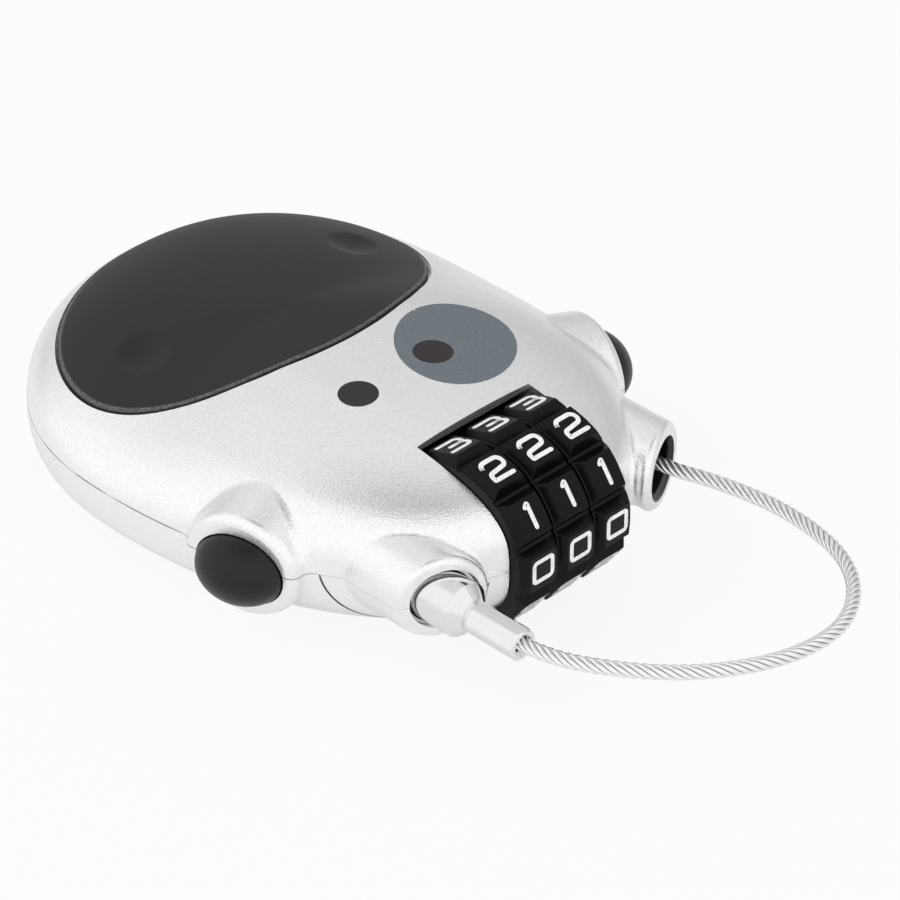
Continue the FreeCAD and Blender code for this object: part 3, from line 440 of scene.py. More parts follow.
def worked_metal(name, tone, rough, lines, stretch, relief_share=0.06):
    """Metal with fine working marks: noise of the given line width, drawn out along the marks.
    The relief is the given share of marks 0.01 mm deep."""
    material, tree, shader = finish(name, Metallic=1.0, Roughness=rough)
    where = add(tree, "ShaderNodeMapping", {"Vector": object_place(tree), "Scale": stretch})
    marks = add(tree, "ShaderNodeTexNoise", {
        "Vector": where.outputs[0], "Scale": 1 / lines, "Detail": 3.0,
    })
    shade = add(tree, "ShaderNodeMapRange", {
        "Value": marks.outputs["Fac"], "From Min": 0.3, "From Max": 0.7, "To Min": 0.93, "To Max": 1.05,
    })
    mixed = add(tree, "ShaderNodeMix", {
        "Factor": 1.0, "A": (*linear(tone), 1.0), "B": shade.outputs[0],
    }, data_type="RGBA", blend_type="MULTIPLY")
    gloss = add(tree, "ShaderNodeMapRange", {
        "Value": marks.outputs["Fac"], "From Min": 0.3, "From Max": 0.7,
        "To Min": rough * 0.8, "To Max": rough * 1.25,
    })
    relief = add(tree, "ShaderNodeBump", {
        "Strength": relief_share, "Distance": 0.01 * MM, "Height": marks.outputs["Fac"],
    })
    feed(tree, shader, Base_Color=mixed.outputs["Result"], Normal=relief.outputs[0],
         Roughness=gloss.outputs[0])
    return material


def wire_rope(cable):
    """Stranded stainless rope: bright drawn wires, with painted shade where two strands meet."""
    material, tree, shader = finish("stranded stainless wire", Metallic=0.9, Roughness=0.2)
    along = add(tree, "ShaderNodeUVMap", uv_map="strand")
    parts = add(tree, "ShaderNodeSeparateXYZ", {"Vector": along.outputs[0]})
    # eighteen ridges round a strand stand for its drawn wires, and turn once in 4 mm of it
    twist = add(tree, "ShaderNodeMath", {0: parts.outputs["X"], 1: 1 / (4 * MM), 2: parts.outputs["Y"]},
                operation="MULTIPLY_ADD")
    phase = add(tree, "ShaderNodeMath", {0: twist.outputs[0], 1: 9 * TURN}, operation="MULTIPLY")
    wires = add(tree, "ShaderNodeMath", {0: phase.outputs[0]}, operation="SINE")
    height = add(tree, "ShaderNodeMath", {0: wires.outputs[0]}, operation="ABSOLUTE")
    # way round the strand as a share of a turn: 0 on its outer line, 0.5 against the core
    side = add(tree, "ShaderNodeMath", {0: parts.outputs["Y"], 1: 0.5}, operation="SUBTRACT")
    side = add(tree, "ShaderNodeMath", {0: side.outputs[0]}, operation="ABSOLUTE")
    # painted shade: the sides of a strand that face its neighbours and the core take the dark shade colour
    open_side = add(tree, "ShaderNodeMapRange", {
        "Value": side.outputs[0], "From Min": 0.16, "From Max": 0.34, "To Min": 1.0, "To Max": 0.0,
    })
    tone = add(tree, "ShaderNodeMix", {
        "Factor": open_side.outputs[0], "A": (*cable.groove_shade, 1.0), "B": (*cable.steel, 1.0),
    }, data_type="RGBA")
    relief = add(tree, "ShaderNodeBump", {
        "Strength": 0.2, "Distance": 0.03 * MM, "Height": height.outputs[0],
    })
    feed(tree, shader, Base_Color=tone.outputs["Result"], Normal=relief.outputs[0])
    return material


def print_ink(name, tone, rough=0.5, gloss=0.5):
    """Pad-printed ink: an even, nearly matt film with a slight mottle of 0.3 mm."""
    return grained_plastic(name, tone, rough, 0.3 * MM, 0.001 * MM, gloss=gloss)


NODE_FINISHES = {
    "lacquer": ("top_shell", "bottom_shell"),
    "button": ("release_button", "rewind_button"),
    "black": ("dial_shroud", "cable_guide"),
    "port": ("port_bush",),
    "turned": ("lock_pin", "code_spindle", "spool_axle"),
    "sleeve": ("crimp_sleeve",),
    "bright": ("socket_bush", "case_screws", "lever_pin", "spool_clip"),
    "spring": (
        "spindle_spring", "detent_spring", "release_spring", "rewind_spring", "latch_spring",
        "brake_spring", "mainspring", "release_arm",
    ),
    "brass": ("tumbler_left", "tumbler_middle", "tumbler_right"),
    "spool": ("spool", "spool_cover", "brake_lever"),
    "washer": ("dial_washers",),
    "winding": ("cable_winding",),
}


def node_materials(scene):
    """Material of each group of carried-over nodes."""
    # a pattern is drawn out along the directions whose scale is small
    long_y = (1.0, 0.02, 1.0)
    round_y = (0.05, 1.0, 0.05)
    round_x = (1.0, 0.05, 0.05)
    level = (0.1, 0.1, 1.0)
    return {
        "lacquer": silver_lacquer(scene.lock_case),
        # spark-eroded ABS: dull, with pits of about 0.2 mm
        "button": grained_plastic(
            "textured black ABS", linear("#0b0b0c"), 0.34, 0.22 * MM, 0.07 * MM, gloss=0.4
        ),
        # moulded nylon: deep black and nearly smooth, as it lies in the shade of the window
        "black": grained_plastic(
            "black nylon", linear("#0b0b0c"), 0.45, 0.3 * MM, 0.0024 * MM, gloss=0.16
        ),
        "port": port_plastic(),
        # turned stainless: fine rings round the pin
        "turned": worked_metal("turned stainless steel", "#f0f0ef", 0.1, 0.06 * MM, round_y),
        # drawn hexagonal steel: faint lines along it
        "sleeve": worked_metal("drawn nickel-plated steel", "#f2f2f1", 0.13, 0.08 * MM, long_y),
        # plated screws and linings: bright, with faint turning rings
        "bright": worked_metal("nickel-plated steel", "#d8d8d6", 0.18, 0.08 * MM, round_y),
        # hardened wire and strip: greyer and duller, with an even grain
        "spring": worked_metal("spring steel", "#a9a9a8", 0.32, 0.1 * MM, (1.0, 1.0, 1.0)),
        # turned brass: yellow, with rings round the dial axle
        "brass": worked_metal("turned brass", "#c9a45c", 0.3, 0.08 * MM, round_x),
        # moulded acetal: grey and satin
        "spool": grained_plastic("grey acetal", linear("#8b8d8f"), 0.42, 0.4 * MM, 0.002 * MM),
        # moulded nylon without dye: off-white and dull
        "washer": grained_plastic("natural nylon", linear("#d9d6cc"), 0.5, 0.3 * MM, 0.002 * MM),
        # turns of rope side by side: lines of 0.2 mm that lie flat
        "winding": worked_metal("wound stainless rope", "#bdbdbb", 0.35, 0.2 * MM, level, 0.4),
    }


# Steel rope

# length of one ring of facets on a strand
ROPE_STEP = 0.24 * MM
# the same corner points as the solid loop, in millimetres from the dial axle
CABLE_ROUTE = (
    (18.3, 1.0),
    (18.3, -6.0),
    (21.3, -14.5),
    (22.4, -25.0),
    (19.6, -36.0),
    (11.4, -42.8),
    (1.4, -42.6),
    (-8.0, -37.3),
    (-14.4, -29.8),
    (-18.3, -22.1),
    (-18.3, -16.6),
)


def nurbs_line(points):
    """Points read from a NURBS spline of order 3 that has the given control points."""
    curve = bpy.data.curves.new("route", "CURVE")
    curve.dimensions = "3D"
    curve.resolution_u = 32
    spline = curve.splines.new("NURBS")
    spline.points.add(len(points) - 1)
    spline.points.foreach_set("co", np.c_[points, np.ones(len(points))].ravel())
    spline.order_u = 3
    spline.use_endpoint_u = True
    holder = bpy.data.objects.new("route", curve)
    mesh = bpy.data.meshes.new_from_object(holder)
    line = np.empty(len(mesh.vertices) * 3, dtype=np.float32)
    mesh.vertices.foreach_get("co", line)
    bpy.data.objects.remove(holder)
    bpy.data.curves.remove(curve)
    bpy.data.meshes.remove(mesh)
    return line.reshape(-1, 3).astype(float)


def even_line(line, step):
    """The same line with points at an even distance."""
    gaps = np.linalg.norm(np.diff(line, axis=0), axis=1)
    reach = np.concatenate([[0.0], np.cumsum(gaps)])
    wanted = np.linspace(0.0, reach[-1], int(reach[-1] / step) + 1)
    return np.stack([np.interp(wanted, reach, line[:, axis]) for axis in range(3)], axis=1), wanted


def rope_mesh(name, line, start, cable):
    """Strands along a level line: each outer strand's middle is the line plus a circle that turns
    once in a lay, and its skin is a circle about that middle, square to the strand's own way."""
    spots, reach = even_line(line, ROPE_STEP)
    way = np.gradient(spots, axis=0)
    way /= np.linalg.norm(way, axis=1)[:, None]
    up = np.array([0.0, 0.0, 1.0])
    side = np.cross(way, up)
    strand = cable.diameter / 6
    around = np.linspace(0.0, 1.0, 9)
    faces = []
    points = []
    wires = []
    count = 0
    for index in range(cable.strands + 1):
        core = index == cable.strands
        turn = (reach + start) / cable.lay * TURN + index * TURN / cable.strands
        out = np.cos(turn)[:, None] * up + np.sin(turn)[:, None] * side
        middle = spots + (0.0 if core else 2 * strand) * out
        heading = np.gradient(middle, axis=0)
        heading /= np.linalg.norm(heading, axis=1)[:, None]
        across = np.cross(heading, out)
        angle = around[None, :-1, None] * TURN
        ring = strand * (np.cos(angle) * out[:, None] + np.sin(angle) * across[:, None])
        skin = middle[:, None] + ring
        skin = np.concatenate([middle[:1, None] + 0 * ring[:1], skin, middle[-1:, None] + 0 * ring[:1]])
        rows, columns = skin.shape[:2]
        faces.append(grid_quads(rows, columns) + count)
        points.append(skin.reshape(-1, 3))
        count += rows * columns
        along = np.concatenate([reach[:1], reach, reach[-1:]]) + start
        turned = (around + 0.5) % 1.0
        turned_next = turned[1:]
        turned_here = turned[:-1]
        turned_next = np.where(turned_next < turned_here, 1.0, turned_next)
        here, there = along[:-1, None], along[1:, None]
        flat = np.zeros((rows - 1, columns))
        corners = [
            (here + flat, turned_here + flat),
            (here + flat, turned_next + flat),
            (there + flat, turned_next + flat),
            (there + flat, turned_here + flat),
        ]
        wires.append(np.stack([np.stack(corner, axis=-1) for corner in corners], axis=2).reshape(-1, 2))
    mesh = bare_mesh(name, np.concatenate(points), np.concatenate(faces))
    layer = mesh.uv_layers.new(name="strand")
    layer.uv.foreach_set("vector", np.concatenate(wires).astype(np.float32).ravel())
    closed_up(mesh, 60)
    return mesh, spots


class LOCK_OT_cable(bpy.types.Operator):
    """Lays the steel rope's strands along its loop and inside the case"""

    bl_idname = "lock.cable"
    bl_label = "Steel rope"

    def execute(self, context):
        cable = context.scene.lock_cable
        material = wire_rope(cable)
        route = np.array([(x * MM, AXLE[1] + y * MM, cable.height) for x, y in CABLE_ROUTE])
        mesh, line = rope_mesh("cable_loop_strands", nurbs_line(route), 0.0, cable)
        loop = place("cable_loop_strands", mesh, "cable", material)
        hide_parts("cable_loop")
        low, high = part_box("cable_lead")
        start = np.array([(low.x + high.x) / 2, high.y, cable.height])
        end = np.array([(low.x + high.x) / 2, low.y, cable.height])
        mesh, _ = rope_mesh("cable_lead_strands", np.stack([start, end]), low.y - high.y, cable)
        lead = place("cable_lead_strands", mesh, "cable", material)
        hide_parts("cable_lead")
        return {"FINISHED"}


# Number wheels


def node_mesh(name, node, flat):
    """Fresh mesh of a node's triangles with doubles merged and flat faces joined."""
    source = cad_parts[node].data
    points = np.empty(len(source.vertices) * 3, dtype=np.float32)
    source.vertices.foreach_get("co", points)
    corners = np.empty(len(source.loops), dtype=np.int32)
    source.loops.foreach_get("vertex_index", corners)
    mesh = bare_mesh(name, points.reshape(-1, 3), corners.reshape(-1, 3))
    closed_up(mesh, 30, flat)
    return mesh


def soften(piece, width):
    """Bevel that rounds a piece's edges."""
    bevel = piece.modifiers.new("rounded edges", "BEVEL")
    bevel.width = width
    bevel.segments = 3
    bevel.limit_method = "ANGLE"
    bevel.angle_limit = math.radians(24)
    bevel.harden_normals = True


class LOCK_OT_wheels(bpy.types.Operator):
    """Makes the three number wheels with rounded edges"""

    bl_idname = "lock.wheels"
    bl_label = "Number wheels"

    def execute(self, context):
        dials = context.scene.lock_dials
        # moulded ABS: deep black and smooth, with a fine grain drawn out along the axle
        plastic = grained_plastic(
            "glossy black ABS", tuple(dials.plastic), 0.3, 0.16 * MM, 0.0016 * MM, (0.3, 1.0, 1.0), 0.16
        )
        for side in ("left", "middle", "right"):
            mesh = node_mesh("wheel_" + side, "dial_" + side, 0.5)
            wheel = place("wheel_" + side, mesh, "dial_" + side, plastic)
            soften(wheel, dials.edge)
            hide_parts("dial_" + side)
        return {"FINISHED"}


# Digits

# strokes of each digit in millimetres: corner points with their rounding; True closes the stroke
DIGITS = (
    (((-1.5, -1.35, 0.45), (1.5, -1.35, 0.45), (1.5, 1.35, 0.45), (-1.5, 1.35, 0.45)), True),
    (((-0.25, 1.15, 0), (0.22, 1.62, 0.12), (0.22, -1.45, 0)), False),
    (((-1.6, 0.7, 0), (-1.6, 1.4, 0.8), (1.5, 1.4, 0.8), (1.5, -0.05, 0.62), (-1.35, -0.4, 0.5),
      (-1.35, -1.4, 0.03), (1.5, -1.4, 0)), False),
    (((-1.5, 1.4, 0), (1.5, 1.4, 0.65), (1.5, 0, 0.6), (-0.6, 0, 0)), False),
    (((-0.6, 1.5, 0), (-1.5, -0.45, 0.15), (1.5, -0.45, 0)), False),
    (((1.4, 1.4, 0), (-1.4, 1.4, 0.1), (-1.4, 0.15, 0.1), (1.5, 0.15, 0.72), (1.5, -1.4, 0.72),
      (-1.5, -1.4, 0)), False),
    (((1.3, 1.4, 0), (-1.5, 1.4, 0.9), (-1.5, -1.4, 0.7), (1.5, -1.4, 0.6), (1.5, 0.1, 0.6),
      (-1.4, 0.1, 0)), False),
    (((-1.5, 1.4, 0), (1.5, 1.4, 0.12), (-0.4, -1.45, 0)), False),
    (((-1.3, 0.05, 0.55), (1.3, 0.05, 0.55), (1.3, 1.45, 0.55), (-1.3, 1.45, 0.55)), True),
    (((-1.3, -1.4, 0), (1.5, -1.4, 0.9), (1.5, 1.4, 0.7), (-1.5, 1.4, 0.6), (-1.5, -0.1, 0.6),
      (1.4, -0.1, 0)), False),
)
# a digit's paint reaches this far into its face
INK_FOOT = 0.04 * MM
SECOND_STROKES = {
    3: (((0.6, 0, 0), (1.5, 0, 0.6), (1.5, -1.4, 0.65), (-1.5, -1.4, 0)), False),
    4: (((0.7, 0.5, 0), (0.7, -1.45, 0)), False),
    8: (((-1.5, -1.4, 0.6), (1.5, -1.4, 0.6), (1.5, 0.05, 0.6), (-1.5, 0.05, 0.6)), True),
}


def rounded_line(corners, closed):
    """Straight runs joined at each corner by an arc, drawn as a rational curve of second order
    that starts and ends where a circle of the corner's rounding touches its two runs."""
    corners = np.array(corners, dtype=float)
    spots, radii = corners[:, :2], corners[:, 2]
    back = np.roll(spots, 1, axis=0) - spots
    ahead = np.roll(spots, -1, axis=0) - spots
    back /= np.linalg.norm(back, axis=1)[:, None]
    ahead /= np.linalg.norm(ahead, axis=1)[:, None]
    half = np.arccos(np.clip((back * ahead).sum(axis=1), -1, 1)) / 2
    cut = radii / np.tan(half)
    if not closed:
        cut[[0, -1]] = 0.0
    share = np.linspace(0, 1, 8)[None, :, None]
    weight = np.sin(half)[:, None, None]
    start = (spots + back * cut[:, None])[:, None]
    end = (spots + ahead * cut[:, None])[:, None]
    a = (1 - share) ** 2
    b = 2 * weight * share * (1 - share)
    c = share**2
    line = ((a * start + b * spots[:, None] + c * end) / (a + b + c)).reshape(-1, 2)
    steps = np.linalg.norm(line - np.roll(line, 1, axis=0), axis=1)
    return line[steps > 1e-4]


def stroke_surface(line, closed, half, rise, sink):
    """Painted line: across it a low dome, at each open end a half circle. Returns points as
    (along x, along y, height) rows and their quads."""
    if closed:
        way = np.roll(line, -1, axis=0) - np.roll(line, 1, axis=0)
        width = np.ones(len(line))
    else:
        way = np.gradient(line, axis=0)
    way = way / np.linalg.norm(way, axis=1)[:, None]
    if not closed:
        cap = np.linspace(math.pi / 2, 0, 6)[:-1]
        head = line[:1] - way[:1] * half * np.sin(cap)[:, None]
        tail = line[-1:] + way[-1:] * half * np.sin(cap[::-1])[:, None]
        width = np.concatenate([np.cos(cap), np.ones(len(line)), np.cos(cap[::-1])])
        way = np.concatenate([np.repeat(way[:1], 5, axis=0), way, np.repeat(way[-1:], 5, axis=0)])
        line = np.concatenate([head, line, tail])
    across = np.stack([-way[:, 1], way[:, 0]], axis=1)
    # the section: share of the half width, and height; its last two points lie inside the face
    shares = np.array([-1.0, -0.97, -0.85, 0.0, 0.85, 0.97, 1.0, 1.0, -1.0])
    heights = np.array([0.0, 0.7, 1.0, 1.0, 1.0, 0.7, 0.0, -sink / rise, -sink / rise]) * rise
    flat = line[:, None] + across[:, None] * (shares[None] * width[:, None] * half)[..., None]
    tall = np.broadcast_to(heights[None, :, None], (*flat.shape[:2], 1))
    points = np.concatenate([flat, tall], axis=-1)
    quads = grid_quads(points.shape[0], points.shape[1], loop_rows=closed)
    return points.reshape(-1, 3), quads


class LOCK_OT_digits(bpy.types.Operator):
    """Paints the digits 0 to 9 on each wheel's faces"""

    bl_idname = "lock.digits"
    bl_label = "Digits"

    def execute(self, context):
        dials = context.scene.lock_dials
        # pad-printed white paint: nearly matt, a very low dome with rounded edges
        paint = print_ink("white digit paint", tuple(dials.ink), 0.45)
        for place_number, side in enumerate(("left", "middle", "right")):
            middle = AXLE + np.array([(place_number - 1) * dials.pitch, 0.0, 0.0])
            points = []
            quads = []
            count = 0
            for digit, (corners, closed) in enumerate(DIGITS):
                strokes = [(corners, closed)]
                if digit in SECOND_STROKES:
                    strokes.append(SECOND_STROKES[digit])
                turn = digit * TURN / len(DIGITS)
                out = np.array([0.0, -math.cos(turn), math.sin(turn)])
                up = np.array([0.0, math.sin(turn), math.cos(turn)])
                for corners, closed in strokes:
                    line = rounded_line(corners, closed) * MM + np.array([0.0, dials.lift])
                    flat, faces = stroke_surface(line, closed, dials.stroke / 2, dials.rise, INK_FOOT)
                    solid = middle + out * (dials.face + flat[:, 2:])
                    solid = solid + flat[:, :1] * np.array([1.0, 0.0, 0.0]) + flat[:, 1:2] * up
                    points.append(solid)
                    quads.append(faces + count)
                    count += len(solid)
            mesh = bare_mesh("digits_" + side, np.concatenate(points), np.concatenate(quads))
            closed_up(mesh, 50)
            place("digits_" + side, mesh, "dial_" + side, paint)
        return {"FINISHED"}


# Crown, pad and print


def crown_height(x, y, case):
    """Height of the crown above the floor: in every direction from the widest point's middle it
    falls as a superellipse, whose reach and exponent change with the direction."""
    along_x = x
    along_y = y - AXLE[1] - case.widest
    angle = np.arctan2(along_y, along_x)
    behind = np.sin(angle) >= 0
    reach = np.where(behind, case.rear, case.front)
    power = np.where(behind, case.rear_square, case.front_square)
    sides = np.abs(np.cos(angle) / case.half_width) ** power
    ends = np.abs(np.sin(angle) / reach) ** power
    outline = (sides + ends) ** (-1 / power)
    end_round = np.where(behind, case.rear_round, case.front_round)
    fullness = case.side_round + (end_round - case.side_round) * np.sin(angle) ** 2
    share = np.clip(np.hypot(along_x, along_y) / outline, 0, 1)
    return AXLE[2] + case.crown * (1 - share**fullness) ** (1 / fullness)


# how far the pad and the printed films reach below the crown
PAD_FOOT = 0.8 * MM
FILM_FOOT = 0.08 * MM


class LOCK_OT_pad(bpy.types.Operator):
    """Makes the soft grip pad with its rounded rim and two finger dimples"""

    bl_idname = "lock.pad"
    bl_label = "Grip pad"

    def execute(self, context):
        pad = context.scene.lock_pad
        case = context.scene.lock_case
        angle = np.linspace(0, TURN, 257)[None, :-1]
        behind = np.sin(angle) >= 0
        reach = np.where(behind, pad.rear, pad.front)
        power = np.where(behind, pad.rear_square, pad.front_square)
        outline = np.abs(np.cos(angle) / pad.half_width) ** power + np.abs(np.sin(angle) / reach) ** power
        outline = outline ** (-1 / power)
        # rings from the middle to the shoulder, round the rim, and back under the pad
        bend = np.linspace(0, math.pi / 2, 7)[1:, None]
        inner = (outline - pad.shoulder) * np.linspace(0, 1, 72)[:, None]
        rim = outline - pad.shoulder + pad.shoulder * np.sin(bend)
        drop = pad.edge * (1 - np.cos(bend)) + 0 * rim
        under = outline * np.linspace(1, 0, 24)[:, None]
        distance = np.concatenate([inner, rim, under])
        rise = np.concatenate([pad.rise + 0 * inner, pad.rise - drop, 0 * under - PAD_FOOT])
        x = distance * np.cos(angle)
        y = AXLE[1] + pad.middle + distance * np.sin(angle)
        z = crown_height(x, y, case) + rise
        # each dimple is a bowl: its depth falls with the square of the distance from its middle
        for side in (-1, 1):
            away = np.hypot(x - side * pad.dimple_x, y - AXLE[1] - pad.dimple_y) / pad.dimple
            z = z - np.where(rise > 0, pad.depth * (1 - np.clip(away, 0, 1) ** 2) ** 1.15, 0)
        points = np.stack([x, y, z], axis=-1)
        quads = grid_quads(*points.shape[:2])
        mesh = bare_mesh("soft_grip_pad", points.reshape(-1, 3), quads)
        # share across the rim, by which the rubber paints its highlight
        share = np.concatenate([0 * inner, np.sin(bend) + 0 * rim, 1 + 0 * under])
        layer = mesh.attributes.new("shoulder", "FLOAT", "POINT")
        layer.data.foreach_set("value", share.astype(np.float32).ravel())
        closed_up(mesh, 60)
        piece = place("soft_grip_pad", mesh, "case", grip_rubber(pad))
        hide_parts("grip_pad")
        return {"FINISHED"}


def printed_disc(name, middle, across, along, turn, rise, material, case):
    """Thin film on the crown inside an ellipse that is turned about its middle, closed below the
    lacquer: rings of points at even shares of both half axes."""
    angle = np.linspace(0, TURN, 97)[None, :-1]
    shares = np.concatenate([np.linspace(0, 1, 20), np.linspace(1, 0, 6)])[:, None]
    heights = np.concatenate([np.full(20, rise), np.full(6, -FILM_FOOT)])[:, None]
    sideways = shares * across * np.cos(angle)
    forwards = shares * along * np.sin(angle)
    x = middle[0] + sideways * math.cos(turn) + forwards * math.sin(turn)
    y = AXLE[1] + middle[1] + forwards * math.cos(turn) - sideways * math.sin(turn)
    z = crown_height(x, y, case) + heights
    points = np.stack([x, y, z], axis=-1)
    mesh = bare_mesh(name, points.reshape(-1, 3), grid_quads(*points.shape[:2]))
    closed_up(mesh, 50)
    return place(name, mesh, "case", material)


class LOCK_OT_print(bpy.types.Operator):
    """Prints two dots and an oval on the crown"""

    bl_idname = "lock.print"
    bl_label = "Printed marks"

    def execute(self, context):
        marks = context.scene.lock_marks
        case = context.scene.lock_case
        dark = print_ink("dark print", tuple(marks.dark), 0.5, 0.3)
        slate = print_ink("slate print", tuple(marks.slate))
        oval = (marks.oval_x, marks.oval_y)
        turn = math.radians(marks.oval_turn)
        printed_disc(
            "printed_oval", oval, marks.oval_width, marks.oval_length, turn, marks.ink, slate, case
        )
        for name, x, rise in (
            ("printed_dot_left", -marks.dots - marks.dot_x, marks.ink),
            ("printed_dot_right", marks.dot_x - marks.dots, 2 * marks.ink),
        ):
            printed_disc(name, (x, marks.dot_y), marks.dot, marks.dot, 0.0, rise, dark, case)
        return {"FINISHED"}


class LOCK_OT_finishes(bpy.types.Operator):
    """Gives every carried-over node its finish"""

    bl_idname = "lock.finishes"
    bl_label = "Finishes"

    def execute(self, context):
        materials = node_materials(context.scene)
        for group, names in NODE_FINISHES.items():
            for name in names:
                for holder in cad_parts[name].material_slots:
                    holder.material = materials[group]
        return {"FINISHED"}


# Stage

# point that the lens and the lamps are turned to, in metres
AIM = (-0.00244, -0.02099, 0.01728)
FLOOR_HALF_WIDTH = 3.0
# name, place, width, height and watts of each soft lamp
SOFTBOXES = (
    ("front_softbox", (-0.2, -0.85, 0.6), 1.0, 0.8, 2.6),
    ("left_softbox", (-0.9, -0.05, 0.5), 0.8, 0.8, 1.9),
    ("top_softbox", (-0.5, 0.6, 0.9), 0.8, 0.8, 2.2),
)
# axis of the ray's direction, from, to, and what is added to the walls' level at either end
WALLS = (
    ("Z", 0.0, 0.75, 0.58, 0.8),
    ("X", -0.38, -0.12, 0.35, 0.0),
    ("X", 0.3, 1.0, 0.0, -0.16),
    ("Z", 0.92, 0.98, 0.0, -0.5),
)


def softbox(name, spot, width, height, power):
    """Soft rectangular lamp turned towards the aim point."""
    lamp = bpy.data.lights.new(name, "AREA")
    lamp.shape = "RECTANGLE"
    lamp.size = width
    lamp.size_y = height
    lamp.energy = power
    holder = bpy.data.objects.new(name, lamp)
    holder.location = spot
    # gloss sees the walls' own light and not the lamp on top of it
    holder.visible_glossy = False
    way = np.array(AIM) - np.array(spot)
    flat = math.hypot(way[0], way[1])
    holder.rotation_euler = (math.atan2(flat, -way[2]), 0.0, math.atan2(way[1], way[0]) - math.pi / 2)
    bpy.context.scene.collection.objects.link(holder)


def seen_directly(tree):
    """Socket that is 1 for rays from the lens, from gloss and through glass, and else 0."""
    path = add(tree, "ShaderNodeLightPath").outputs
    seen = add(tree, "ShaderNodeMath", {0: path["Is Camera Ray"], 1: path["Is Glossy Ray"]},
               operation="MAXIMUM")
    seen = add(tree, "ShaderNodeMath", {0: seen.outputs[0], 1: path["Is Transmission Ray"]},
               operation="MAXIMUM")
    return seen.outputs[0]


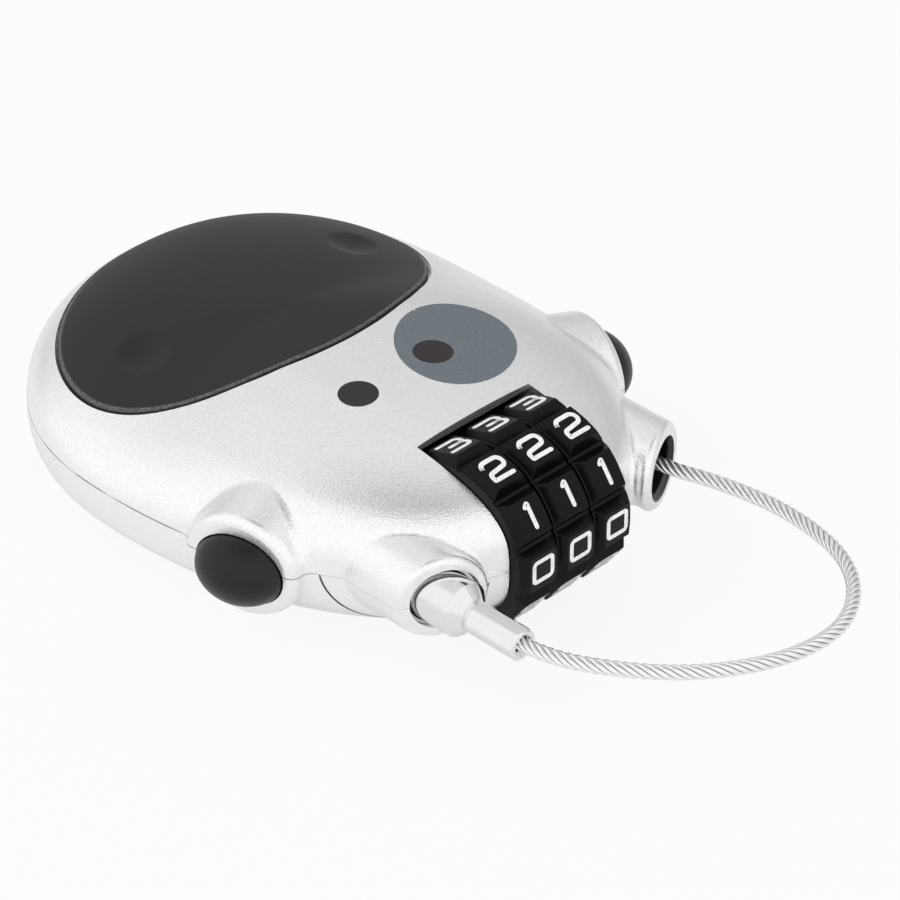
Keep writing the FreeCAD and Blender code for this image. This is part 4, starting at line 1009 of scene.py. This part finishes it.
class LOCK_OT_stage(bpy.types.Operator):
    """Sets the camera, the pale floor, the surroundings and the lamps"""

    bl_idname = "lock.stage"
    bl_label = "Stage"

    def execute(self, context):
        stage = context.scene.lock_stage
        scene = context.scene
        turn = math.radians(stage.turn)
        rise = math.radians(stage.height)
        level = math.cos(rise)
        back = np.array([-level * math.sin(turn), -level * math.cos(turn), math.sin(rise)])
        lens = bpy.data.cameras.new("camera")
        lens.lens = stage.focal
        lens.sensor_width = 36.0
        lens.clip_start = 0.01
        camera = bpy.data.objects.new("camera", lens)
        camera.location = np.array(AIM) + back * stage.distance
        camera.rotation_euler = (math.pi / 2 - rise, 0.0, -turn)
        scene.collection.objects.link(camera)
        scene.camera = camera
        scene.view_settings.view_transform = "Standard"

        corners = np.array([(-1, -1, 0), (1, -1, 0), (1, 1, 0), (-1, 1, 0)]) * FLOOR_HALF_WIDTH
        mesh = bare_mesh("floor", corners, np.array([[0, 1, 2, 3]]))
        floor = bpy.data.objects.new("floor", mesh)
        scene.collection.objects.link(floor)
        paper, tree, shader = finish("pale paper", Roughness=0.9)
        shader.inputs["Base Color"].default_value = (*stage.floor_tone, 1.0)
        shader.inputs["Specular IOR Level"].default_value = 0.0
        glow = add(tree, "ShaderNodeEmission", {"Color": (1.0, 1.0, 1.0, 1.0), "Strength": 1.0})
        path = add(tree, "ShaderNodeLightPath").outputs
        # the lens sees nearly white paper, and gloss sees it a little darker
        part = add(tree, "ShaderNodeMapRange", {
            "Value": path["Is Camera Ray"], "To Min": 0.2, "To Max": 0.88,
        })
        part = add(tree, "ShaderNodeMath", {0: part.outputs[0], 1: seen_directly(tree)},
                   operation="MULTIPLY")
        mixed = add(tree, "ShaderNodeMixShader", {
            0: part.outputs[0], 1: shader.outputs[0], 2: glow.outputs[0],
        })
        output = next(node for node in tree.nodes if node.type == "OUTPUT_MATERIAL")
        tree.links.new(mixed.outputs[0], output.inputs["Surface"])
        mesh.materials.append(paper)

        world = bpy.data.worlds.new("studio")
        world.use_nodes = True
        scene.world = world
        tree = world.node_tree
        tree.nodes.clear()
        plain = add(tree, "ShaderNodeBackground", {"Color": (1.0, 1.0, 1.0, 1.0), "Strength": 0.6})
        # gloss sees white walls on the left and in front, grey ones on the right and behind, which
        # brighten upwards, and a grey ceiling; the lens sees plain white
        way = add(tree, "ShaderNodeTexCoord").outputs["Generated"]
        way = add(tree, "ShaderNodeSeparateXYZ", {"Vector": way}).outputs
        shade = add(tree, "ShaderNodeMapRange", {
            "Value": way["Y"], "From Min": -0.5, "From Max": -0.05, "To Min": 0.4, "To Max": 0.0,
        })
        right = add(tree, "ShaderNodeMapRange", {
            "Value": way["X"], "From Min": 0.2, "From Max": 0.7, "To Min": 1.0, "To Max": 0.3,
        })
        shade = add(tree, "ShaderNodeMath", {0: shade.outputs[0], 1: right.outputs[0]},
                    operation="MULTIPLY")
        for axis, start, end, first, last in WALLS:
            part = add(tree, "ShaderNodeMapRange", {
                "Value": way[axis], "From Min": start, "From Max": end, "To Min": first, "To Max": last,
            })
            shade = add(tree, "ShaderNodeMath", {0: shade.outputs[0], 1: part.outputs[0]}, operation="ADD")
        # no wall is brighter than white
        shade = add(tree, "ShaderNodeMath", {0: shade.outputs[0], 1: 1.0}, operation="MINIMUM")
        seen = add(tree, "ShaderNodeLightPath").outputs["Is Camera Ray"]
        shade = add(tree, "ShaderNodeMix", {0: seen, 2: shade.outputs[0], 3: 1.0})
        white = add(tree, "ShaderNodeBackground", {
            "Color": (1.0, 1.0, 1.0, 1.0), "Strength": shade.outputs[0],
        })
        mixed = add(tree, "ShaderNodeMixShader", {
            0: seen_directly(tree), 1: plain.outputs[0], 2: white.outputs[0],
        })
        add(tree, "ShaderNodeOutputWorld", {"Surface": mixed.outputs[0]})

        for lamp in SOFTBOXES:
            softbox(*lamp)
        return {"FINISHED"}


class LOCK_PT_panel(bpy.types.Panel):
    """Sizes and steps of the cable lock"""

    bl_idname = "LOCK_PT_panel"
    bl_label = "Laptop Cable Lock"
    bl_space_type = "VIEW_3D"
    bl_region_type = "UI"
    bl_category = "Cable Lock"

    def draw(self, context):
        for step in STEPS:
            self.layout.operator(step.bl_idname)
        for group, kind in GROUPS.items():
            box = self.layout.box()
            box.label(text=kind.__doc__)
            for key in kind.__annotations__:
                box.prop(getattr(context.scene, group), key)


STEPS = (
    LOCK_OT_stage,
    LOCK_OT_cable,
    LOCK_OT_finishes,
    LOCK_OT_wheels,
    LOCK_OT_digits,
    LOCK_OT_pad,
    LOCK_OT_print,
)


def register():
    for kind in (*GROUPS.values(), *STEPS, LOCK_PT_panel):
        bpy.utils.register_class(kind)
    for group, kind in GROUPS.items():
        setattr(bpy.types.Scene, group, bpy.props.PointerProperty(type=kind))


def unregister():
    for group in GROUPS:
        delattr(bpy.types.Scene, group)
    for kind in (LOCK_PT_panel, *STEPS, *GROUPS.values()):
        bpy.utils.unregister_class(kind)


def main():
    """Registers the add-on and runs its steps in order."""
    register()
    for step in STEPS:
        area, name = step.bl_idname.split(".")
        getattr(getattr(bpy.ops, area), name)()


if __name__ == "__main__":
    main()
